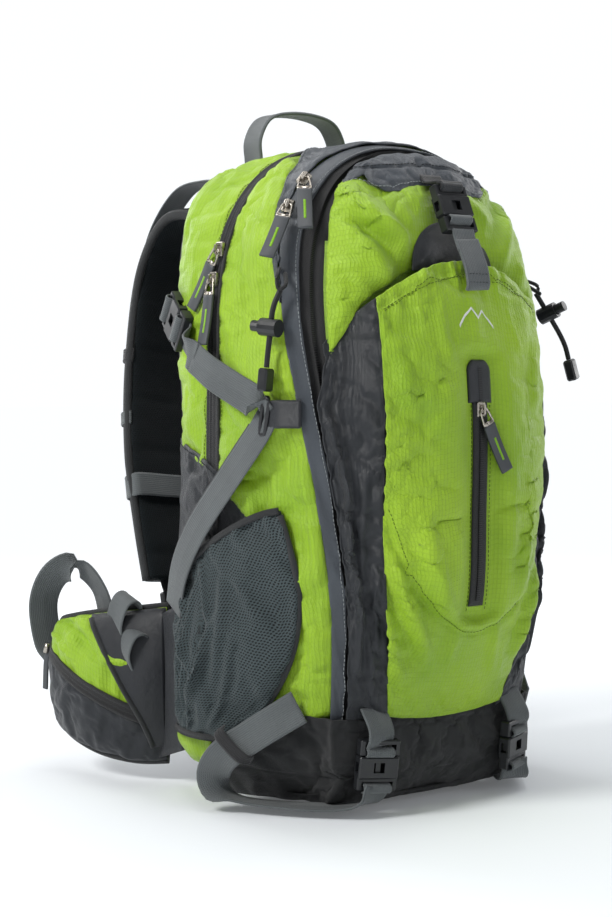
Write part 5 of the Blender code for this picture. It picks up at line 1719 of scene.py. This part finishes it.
def build_handle():
    """The webbing haul handle at the top of the back."""
    route = [(-0.0440, 0.1035, 0.5075), (-0.0450, 0.1035, 0.5180), (-0.0455, 0.1035, 0.5340),
             (-0.0350, 0.1035, 0.5510),
             (-0.0140, 0.1035, 0.5572), (0.0140, 0.1035, 0.5572), (0.0350, 0.1035, 0.5510),
             (0.0455, 0.1035, 0.5340), (0.0450, 0.1035, 0.5180), (0.0440, 0.1035, 0.5075)]
    strap("haul_handle_webbing", route, (0.10, 1, 0), WEBBING, "handle", 0.0265, 0.0026, 0.003,
          ("haul_handle",))


# ------------------------------------------------------------------ cords

LEFT_CORD = ((-0.1370, -0.0465, 0.402), (-0.1410, -0.0450, 0.393), (-0.1430, -0.0442, 0.385),
             (-0.1437, -0.0432, 0.374),
             (-0.1444, -0.0422, 0.363), (-0.1451, -0.0412, 0.353), (-0.1456, -0.0406, 0.344))
RIGHT_CORD = ((0.1352, -0.0490, 0.4060), (0.1400, -0.0510, 0.3980), (0.1452, -0.0532, 0.3893),
              (0.1504, -0.0554, 0.3806),
              (0.1556, -0.0576, 0.3715), (0.1600, -0.0596, 0.3615), (0.1625, -0.0610, 0.3510))


def build_cord(word, route):
    """An elastic cord hanging from its loop in the front band, with its lock and its end piece."""
    line = smooth_path(route, 20)
    data = bpy.data.curves.new(f"bungee_{word}", "CURVE")
    data.dimensions = "3D"
    data.bevel_depth = 0.0021
    data.bevel_resolution = 3
    data.use_fill_caps = True
    spline = data.splines.new("POLY")
    spline.points.add(len(line) - 1)
    for point, place in zip(spline.points, line):
        point.co = (*place, 1)
    data.materials.append(ELASTIC)
    cord = bpy.data.objects.new(f"bungee_{word}", data)
    bpy.context.scene.collection.objects.link(cord)
    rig.ride(cord, "bag")
    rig.replaces(cord, f"bungee_cord_{word}")
    length = float(np.linalg.norm(np.diff(line, axis=0), axis=1).sum())
    nodes = frame["nodes"]
    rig.cord(cord, tuple(line[0]), length, 0.0042, "fitting", "limp", "hanging",
            with_pieces=[nodes[f"cord_end_{word}"], nodes[f"cord_lock_{word}"],
                         nodes[f"cord_lock_button_{word}"]])
    side = -1 if word == "left" else 1
    top = np.array(route[0])
    edge = (side * (float(edge_width(0.418)) + 0.0012), float(edge_depth(0.418)) - 0.0010, 0.4190)
    loop = [edge, (top[0] + side * 0.0022, top[1] + 0.0014, 0.4130),
            tuple(top + np.array((side * 0.0018, 0, 0.0008))),
            (top[0] - side * 0.0012, top[1] - 0.0050, 0.4060),
            (edge[0] - side * 0.0010, edge[1] - 0.0060, 0.4150)]
    tube(f"bungee_loop_{word}", smooth_path(loop, 24), 0.0016, ELASTIC, "bag")


# ------------------------------------------------------------------ zip pulls and carried-over hardware

def zip_places():
    """For each zip: where its pull hangs from, and how far the pull swings aside, in degrees."""
    def flank(y, z):
        return placed((-float(side_x(y, z)) - 0.0013, y, z), (0.06, 0, 1), (-1, 0, 0))

    def crown(z):
        low, high = ((-float(edge_width(h)), float(edge_depth(h)), h) for h in (z - 0.005, z + 0.005))
        return placed((-float(edge_width(z)) - 0.0030, float(edge_depth(z)) - 0.0050, z),
                      Vector(high) - Vector(low), (-1, -0.75, 0.15))

    return {"pocket_zip": (placed((0, -0.1188, 0.312), (0, 0, 1), (0, -1, 0)), 24),
            "main_zip_upper": (flank(Y_ZIP, 0.4365), -26),
            "main_zip_lower": (flank(Y_ZIP, 0.4130), 0), "front_zip_upper": (crown(0.488), 34),
            "front_zip_lower": (crown(0.466), 0)}


def build_pull(zip_name, matrix, swing):
    """A wire ring and shackle, and a ribbed tape with a plain green line on it."""
    hung = Matrix.Rotation(math.radians(swing), 4, "Y") @ Matrix.Rotation(math.radians(6), 4, "X")
    here = matrix @ Matrix.Translation((0, 0.0054, -0.0002)) @ hung
    body = f"{zip_name}_tab"
    turned = here.to_3x3()
    ring = smooth_path([(0, 0, 0.0006), (0.0030, 0, -0.0002), (0.0040, 0, -0.0034), (0.0046, 0, -0.0080),
                        (0.0048, 0, -0.0120), (0, 0, -0.0128), (-0.0048, 0, -0.0120), (-0.0046, 0, -0.0080),
                        (-0.0040, 0, -0.0034), (-0.0030, 0, -0.0002), (0, 0, 0.0006)], 44)[:-1]
    sweep(f"{zip_name}_link", at(here, *ring), tuple(turned @ Vector((0, 1, 0))),
          round_profile(0.00085, 8), METAL, body, closed=True)
    plate = [(-0.0046, 0.0009), (0.0046, 0.0009), (0.0046, -0.0007), (-0.0046, -0.0007)]
    line = at(here, (0, 0, -0.0100), (0, 0, -0.0108), (0, 0, -0.0138), (0, 0, -0.0146))
    sweep(f"{zip_name}_plate", line, tuple(turned @ Vector((1, 0, 0))), plate, METAL, body,
          scale=[0.92, 1, 1, 0.92])
    ribs = []
    for k in range(7):
        x = -0.0058 + 0.0116 * k / 7
        ribs += [(x + 0.0001, 0.0008), (x + 0.0003, 0.0013), (x + 0.0013, 0.0013), (x + 0.0015, 0.0008)]
    section = ribs + [(0.0058, -0.0006), (0.0052, -0.0012), (-0.0052, -0.0012), (-0.0058, -0.0006)]
    drop = np.linspace(-0.0128, -0.0520, 26)
    bend = 0.0008 * np.sin((drop + 0.0128) / 0.039 * math.pi)
    line = at(here, *[(0, b, z) for b, z in zip(bend, drop)])
    tape = sweep(f"{zip_name}_tape", line, tuple(turned @ Vector((1, 0, 0))), section, PULL_RUBBER, body)
    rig.replaces(tape, f"{zip_name}_pull")
    for y in (1, -1):
        mark_line = at(here, *[(0, y * 0.0012 + b, z) for b, z in zip(bend[7:20], drop[7:20])])
        stripe = [(-0.0010, 0.0002), (0.0010, 0.0002), (0.0010, -0.0002), (-0.0010, -0.0002)]
        sweep(f"{zip_name}_mark_{'out' if y > 0 else 'in'}", mark_line, tuple(turned @ Vector((1, 0, 0))),
              stripe, GREEN_PRINT, body)


def finish_hardware():
    """Gives each rigid CAD part that is kept its material and softened edges."""
    looks = {"buckle": PLASTIC, "ladder_lock": PLASTIC, "cord_lock": PLASTIC, "cord_end": PLASTIC,
             "slider": METAL, "frame_sheet": PLASTIC}
    for name, node in frame["nodes"].items():
        for word, stuff in looks.items():
            if word in name:
                for slot in node.material_slots:
                    slot.material = stuff
                if node.type == "MESH" and word != "frame_sheet":
                    bevel = node.modifiers.new("soft edges", "BEVEL")
                    bevel.width = 0.0004
                    bevel.segments = 2
                    bevel.limit_method = "ANGLE"
                    bevel.angle_limit = math.radians(35)
                    bevel.harden_normals = False
                break


# ------------------------------------------------------------------ harness

SHOULDER_ROUTE = ((0.046, 0.1250, 0.430), (0.047, 0.142, 0.468), (0.055, 0.178, 0.468),
                  (0.064, 0.201, 0.425),
                  (0.077, 0.199, 0.350), (0.089, 0.184, 0.280), (0.097, 0.163, 0.215),
                  (0.101, 0.147, 0.165))


def pad_frames(side, count):
    """The middle line of a shoulder pad, with its across and outward directions."""
    line = smooth_path(mirrored(SHOULDER_ROUTE, side), count)
    along = unit(np.gradient(line, axis=0))
    across = unit(np.array((1.0, 0, 0)) - along * along[:, :1])
    return line, across, np.cross(along, across)


def build_shoulder(side):
    """A shoulder strap: its pad, bindings, keepers and webbings."""
    word = hand(side)
    body = f"shoulder_{word}"
    count = 110
    line, across, out = pad_frames(side, count)
    t = np.linspace(0, 1, count + 1)
    half = 0.5 * (0.058 - 0.0384 * np.maximum(t - 0.75, 0))
    angle = np.linspace(0, 2 * math.pi, 36, endpoint=False)
    section_x = np.sign(np.cos(angle)) * np.abs(np.cos(angle)) ** 0.42
    section_y = np.sign(np.sin(angle)) * np.abs(np.sin(angle)) ** 0.80
    quilt = 1 - 0.16 * np.exp(-(((t * 9) % 1 - 0.5) / 0.06) ** 2)
    thick = 0.0068 * quilt
    points = (line[:, None] + across[:, None] * (half[:, None, None] * section_x[None, :, None])
              + out[:, None] * (thick[:, None, None] * section_y[None, :, None]))
    u = np.broadcast_to(section_x[None] * 0.029, points.shape[:2])
    v = np.broadcast_to((t * 0.52)[:, None], points.shape[:2])
    points += out[:, None] * (0.0010 * value_noise(u, v, 0.030, 7))[..., None]
    rows, columns = points.shape[:2]
    index = np.arange(rows * columns).reshape(rows, columns)
    faces = np.stack([index[:-1], np.roll(index[:-1], -1, 1), np.roll(index[1:], -1, 1), index[1:]],
                     -1).reshape(-1, 4).tolist()
    faces += [tuple(index[0]), tuple(index[-1][::-1])]
    pad = plain_object(f"shoulder_pad_{word}", points.reshape(-1, 3), faces, SPACER_MESH, body,
                       uv=np.stack([u, v], -1).reshape(-1, 2))
    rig.replaces(pad, f"shoulder_strap_{word}")
    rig.padded(pad, 0.7)
    for edge in (-1, 1):
        rim = line + across * (half * edge)[:, None]
        sweep(f"shoulder_binding_{word}_{'outer' if edge * side > 0 else 'inner'}", rim, across,
              [(-0.0022, 0.0042), (0.0012, 0.0040), (0.0026, 0.0020), (0.0028, -0.0020), (0.0012, -0.0040),
               (-0.0022, -0.0042)] if edge > 0 else
              [(0.0022, -0.0042), (-0.0012, -0.0040), (-0.0026, -0.0020), (-0.0028, 0.0020),
               (-0.0012, 0.0040), (0.0022, 0.0042)], BINDING, body)
    face = 1 if out[60, 1] > 0 else -1
    band = line[34:] + out[34:] * face * 0.0076
    strap(f"shoulder_daisy_{word}", band[::6], across[34], DARK_WEBBING, body, 0.0200, 0.0016)
    for place in (0.52, 0.66, 0.80):
        k = int(place * count)
        ends = [line[k] + across[k] * half[k] * x + out[k] * face * y
                for x, y in ((-0.96, -0.0050), (-1.08, 0.0010), (-0.90, 0.0092), (0, 0.0100),
                             (0.90, 0.0092), (1.08, 0.0010), (0.96, -0.0050))]
        along = unit(line[k + 1] - line[k])
        strap(f"shoulder_keeper_{word}_{int(place * 100)}", ends, along,
              WEBBING if place > 0.6 else BLACK_WEBBING, body,
              0.0200 if place > 0.75 else 0.0120, 0.0015, 0.002)
    k = int(0.80 * count)
    ends = [line[k] + across[k] * half[k] * x - out[k] * face * y
            for x, y in ((-1.06, 0.0010), (-0.90, 0.0088), (0, 0.0094), (0.90, 0.0088), (1.06, 0.0010))]
    strap(f"shoulder_keeper_back_{word}", ends, unit(line[k + 1] - line[k]), WEBBING, body, 0.0200, 0.0015,
          0.002)
    lifter = ((0.050, 0.1185, 0.498), (0.053, 0.150, 0.502), (0.058, 0.186, 0.494), (0.064, 0.216, 0.455),
              (0.068, 0.2230, 0.400), (0.071, 0.2250, 0.345), (0.073, 0.2200, 0.300))
    strap(f"load_lifter_webbing_{word}", mirrored(lifter, side), (1, 0, 0), WEBBING, body, 0.0235, 0.0018,
          nodes=(f"load_lifter_{word}",))
    chest = ((0.070, 0.2140, 0.385), (0.048, 0.2140, 0.378), (0.032, 0.211, 0.352), (0.027, 0.208, 0.310),
             (0.026, 0.206, 0.275))
    chest_across = [(0, 0, 1), (0.3 * side, 0, 1), (side, 0, 0.5), (side, 0, 0), (side, 0, 0)]
    strap(f"sternum_webbing_{word}", mirrored(chest, side), chest_across, WEBBING, body, 0.0195, 0.0016,
          0.003, nodes=(f"sternum_strap_{word}",))
    low = ((0.0965, 0.1415, 0.1500), (0.0960, 0.1400, 0.1370), (0.0930, 0.134, 0.122),
           (0.0900, 0.138, 0.100), (0.0870, 0.131, 0.075), (0.0850, 0.1195, 0.052))
    webbing = strap(f"shoulder_lower_webbing_{word}", mirrored(low, side), (1, 0, 0), WEBBING, None, 0.0245,
                    0.0018, 0.003, nodes=(f"shoulder_webbing_{word}",))
    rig.blend(webbing, "bag", body, (side * 0.0855, 0.1225, 0.058), (side * 0.0962, 0.1400, 0.136))
    tab = ((0.1000, 0.1500, 0.1740), (0.0985, 0.1455, 0.1600), (0.0968, 0.1418, 0.1510))
    strap(f"shoulder_end_tab_{word}", mirrored(tab, side), (1, 0, 0), BLACK_WEBBING, body, 0.0235, 0.0018,
          0.002)


WING_ROUTE = ((0.116, 0.128, 0.082), (0.134, 0.150, 0.080), (0.149, 0.184, 0.080), (0.153, 0.220, 0.082),
              (0.146, 0.246, 0.086))
HIP_STRAP_ROUTE = ((0.146, 0.2490, 0.090), (0.149, 0.262, 0.105), (0.154, 0.262, 0.140),
                   (0.152, 0.245, 0.166),
                   (0.140, 0.227, 0.172), (0.128, 0.214, 0.154), (0.1225, 0.209, 0.125),
                   (0.1215, 0.207, 0.098))


def wing_point(side, t, v, rise):
    """A point of the belt wing: t runs from bag to tip, v from lower to upper edge, and rise outwards."""
    t, v, rise = np.broadcast_arrays(np.asarray(t, float), np.asarray(v, float), np.asarray(rise, float))
    line = smooth_path(mirrored(WING_ROUTE, side), 100)
    along = unit(np.gradient(line, axis=0))
    out = unit(np.cross(along, (0, 0, 1)) * -side)
    if out[50, 0] * side < 0:
        out = -out
    place = np.clip(t, 0, 1) * 100
    i = np.clip(place.astype(int), 0, 99)
    f = (place - i)[..., None]
    centre, outer = line[i] * (1 - f) + line[i + 1] * f, out[i] * (1 - f) + out[i + 1] * f
    height = (0.128 - 0.050 * t ** 2) * (1 - 0.30 * np.clip((t - 0.80) / 0.20, 0, 1) ** 3)
    return centre + np.stack([0 * t, 0 * t, height * (v - 0.5)], -1) + outer * rise[..., None]


def wing_bulge(t, v):
    """How far the wing's zipped pocket stands out."""
    across = np.clip(np.sin(math.pi * np.clip(v, 0, 1)), 0, 1) ** 0.55
    along = np.clip(np.sin(math.pi * np.clip(0.06 + 0.90 * t, 0, 1)), 0, 1) ** 0.60
    return 0.004 + 0.0150 * across * along


def wing_zip(t):
    """How far up the belt wing its zip runs, at a share t of the wing's length."""
    return 0.26 + 0.52 * t ** 1.25


def build_wing(side):
    """A belt wing: its pocket, zip, pad, bindings, webbings and root."""
    word = hand(side)
    body = f"belt_{word}"
    t = np.linspace(0, 1, 44)[None]

    def face(low, high, rows, lift=0.0):
        share = np.linspace(0, 1, rows)[:, None]
        v = low(t) + (high(t) - low(t)) * share
        return wing_point(side, t + 0 * v, v, wing_bulge(t + 0 * v, v) + lift)

    def dents(p):
        """Folds in the pocket's slack top."""
        rows, columns = p.shape[:2]
        across, up = shares(rows, columns)
        return folds(across, up, [(0.75, 0.95, 0.40, 0.35, 0.06, -0.0060),
                                  (0.40, 0.40, 0.12, 0.46, 0.06, 0.0040),
                              (0.90, 0.55, 0.60, 0.20, 0.05, 0.0022)])

    top = face(lambda q: wing_zip(q) + 0.045, lambda q: 1 + 0 * q, 22)
    green = cloth_panel(f"hip_pod_top_{word}", top, GREEN, body, seed=121, wrinkle=0.9, crown=0.0010,
                        relief=dents, slack=0.04, cap=0.0040, pressure=1.0)
    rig.replaces(green, f"hip_wing_{word}")
    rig.padded(green, 0.4)
    under = face(lambda q: 0 * q, lambda q: wing_zip(q) - 0.045, 16)
    slate = cloth_panel(f"hip_pod_foot_{word}", under, SLATE, body, seed=127, wrinkle=0.8, crown=0.0010,
                        slack=0.03, cap=0.004, pressure=1.0)
    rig.padded(slate, 0.5)
    rise = np.array([0.0, 0.0016, 0.0016, 0.0004, 0.0014, 0.0004, 0.0016, 0.0016, 0.0])[:, None]
    share = np.array([-0.055, -0.052, -0.030, -0.016, 0, 0.016, 0.030, 0.052, 0.055])[:, None]
    v = wing_zip(t) + share
    band = wing_point(side, t + 0 * v, v, wing_bulge(t + 0 * v, v) + 0.0008 + rise)
    sheet_object(f"hip_pod_zip_{word}", band, TAPE, body, 0.001)
    v = np.linspace(0, 1, 24)[:, None] + 0 * t
    inner = wing_point(side, t + 0 * v, v, -0.0065 * np.sin(math.pi * v) ** 0.4)
    pad = sheet_object(f"hip_pad_{word}", inner, SPACER_MESH, body, 0.0015)
    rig.padded(pad, 0.6)
    run, down = np.linspace(0, 1, 60), np.linspace(1, 0, 30)
    for number, (along, up) in enumerate(((run, 1 + 0 * run), (1 + 0 * down, down), (run[::-1], 0 * run))):
        rim = wing_point(side, along, up, 0 * up + 0.0012)
        tube(f"hip_binding_{word}_{number}", rim, 0.0036, BINDING, body, 10)
    t_slide = 0.93
    v_slide = float(wing_zip(t_slide))
    spot = wing_point(side, t_slide, v_slide, wing_bulge(t_slide, v_slide) + 0.002)
    lower = spot + np.array(((0, 0, 0), (0.001 * side, 0.004, -0.012), (0.001 * side, 0.006, -0.036)))
    strap(f"hip_zip_pull_{word}", lower, (0, 1, 0.1), PULL_RUBBER, body, 0.0070, 0.0022, 0.002)
    ring = spot + np.array(((side * 0.002, 0, 0.004), (side * 0.003, 0.002, -0.004)))
    tube(f"hip_zip_ring_{word}", ring, 0.0024, METAL, body)
    across = [(0.9 * side, 0.25, 0)] * 3 + [(0.7 * side, 0.6, 0), (0.4 * side, 0.9, 0.1)]
    across += [(0, 1.0, 0.1)] * 3
    strap(f"hip_webbing_{word}", mirrored(HIP_STRAP_ROUTE, side), across, WEBBING, body, 0.0260, 0.0018,
          0.003, nodes=(f"hip_strap_{word}",))
    for number, (y, z, size) in enumerate(((0.158, 0.112, 1.0), (0.146, 0.094, 0.8))):
        x = side * 0.150
        loop = [(x - side * 0.004, y, z), (x + side * 0.002, y - 0.003 * size, z + 0.020 * size),
                (x - side * 0.001, y - 0.008 * size, z + 0.038 * size),
                (x - side * 0.009, y - 0.010 * size, z + 0.042 * size),
                (x - side * 0.015, y - 0.008 * size, z + 0.034 * size), (x - side * 0.015, y, z + 0.006)]
        strap(f"hip_root_loop_{word}_{number}", loop, (0, 1, 0.35), WEBBING, body, 0.0230, 0.0018, 0.002)
    height = np.linspace(0.10, 1.0, 30)[:, None]
    reach = np.linspace(0, 1, 16)[None] * (0.06 + 0.44 * height ** 1.3)
    corner = wing_point(side, reach, height, wing_bulge(reach, height + 0 * reach) + 0.0050)
    root = sheet_object(f"hip_root_{word}", corner, SLATE_DARK, body, 0.0014)
    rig.padded(root, 0.3)
    tube(f"hip_root_binding_{word}", corner[::2, -1], 0.0022, BINDING, body, 8)
    height = np.linspace(0.02, 0.95, 24)
    near = np.stack([np.full(24, side * 0.1290), np.full(24, 0.0900), 0.030 + 0.130 * height], -1)
    far = wing_point(side, np.full(24, 0.06), height, np.full(24, 0.006))
    share = np.linspace(0, 1, 10)[None, :, None]
    web = near[:, None] * (1 - share) + far[:, None] * share
    web = sheet_object(f"hip_root_web_{word}", web, SLATE_DARK, None, 0.0014)
    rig.blend(web, "bag", body, (side * 0.1290, 0.0930, 0.09), (side * 0.1280, 0.1300, 0.09))


def build_back():
    """The padded back panel, its binding and the lower anchors."""
    def half(z):
        return half_width(BACK_WIDTH, BACK_TURN, TOP_BACK, z) - 0.0045

    def low(s):
        return 0.022 + 0.006 * (2 * s - 1) ** 4

    def high(s):
        return 0.5040 - 0.050 * np.abs(2 * s - 1) ** 6

    points = patch(lambda z: -half(z), half, low, high, lambda x, z: 0.0990 + 0 * x, 120, 64)
    edge, _, _ = rim_distance(points)
    x, z = points[..., 0], points[..., 2]
    bulge = 0.0150 * (1 - np.exp(-(edge / 0.010)))
    channel = np.exp(-(x / 0.014) ** 4) * np.clip((z - 0.12) / 0.02, 0, 1)
    cross = sum(np.exp(-((z - h) / 0.0045) ** 2) for h in (0.145, 0.235, 0.325, 0.415))
    lumbar = np.exp(-((x / 0.075) ** 4 + ((z - 0.085) / 0.050) ** 4)) * 0.0020
    points[..., 1] += np.clip(bulge - 0.0060 * channel - 0.0045 * cross * (1 - channel) + lumbar, 0, 0.018)
    points[..., 1] += 0.0006 * value_noise(x, z, 0.020, 15) * (edge > 0.01)
    panel = sheet_object("back_panel_cloth", points, SPACER_MESH, "bag", 0.0015)
    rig.replaces(panel, "back_panel")
    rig.padded(panel, 0.7)
    outline = np.concatenate([points[:, 0], points[-1, 1:], points[-2::-1, -1], points[0, -2:0:-1]])
    outline = outline + np.array((0, 0.0012, 0))
    tube("back_binding", outline[::2], 0.0030, BINDING, "bag", 8, True)
    for side in (-1, 1):
        rows = ((0.1190, 0.040), (0.1200, 0.052), (0.1195, 0.070))
        strip = np.array([[(side * x, y, z) for x in np.linspace(0.060, 0.118, 8)] for y, z in rows])
        sheet_object(f"lower_anchor_{hand(side)}", finer(strip, 2), BASE, "bag", 0.0014)


finish_hardware()
for cord_word, cord_route in (("left", LEFT_CORD), ("right", RIGHT_CORD)):
    build_cord(cord_word, cord_route)
build_lid_strap()
build_handle()
for side in (1, -1):
    build_side_straps(side)
    build_bottom_straps(side)
    build_shoulder(side)
    build_wing(side)
for zip_name, (matrix, swing) in zip_places().items():
    build_pull(zip_name, matrix, swing)
build_back()


make_stitches(THREADS)
with open("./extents.json", "w") as handle:
    json.dump({"cad": [list(c) for c in CAD_BOX], "visual": [list(c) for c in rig.bounds()]}, handle)
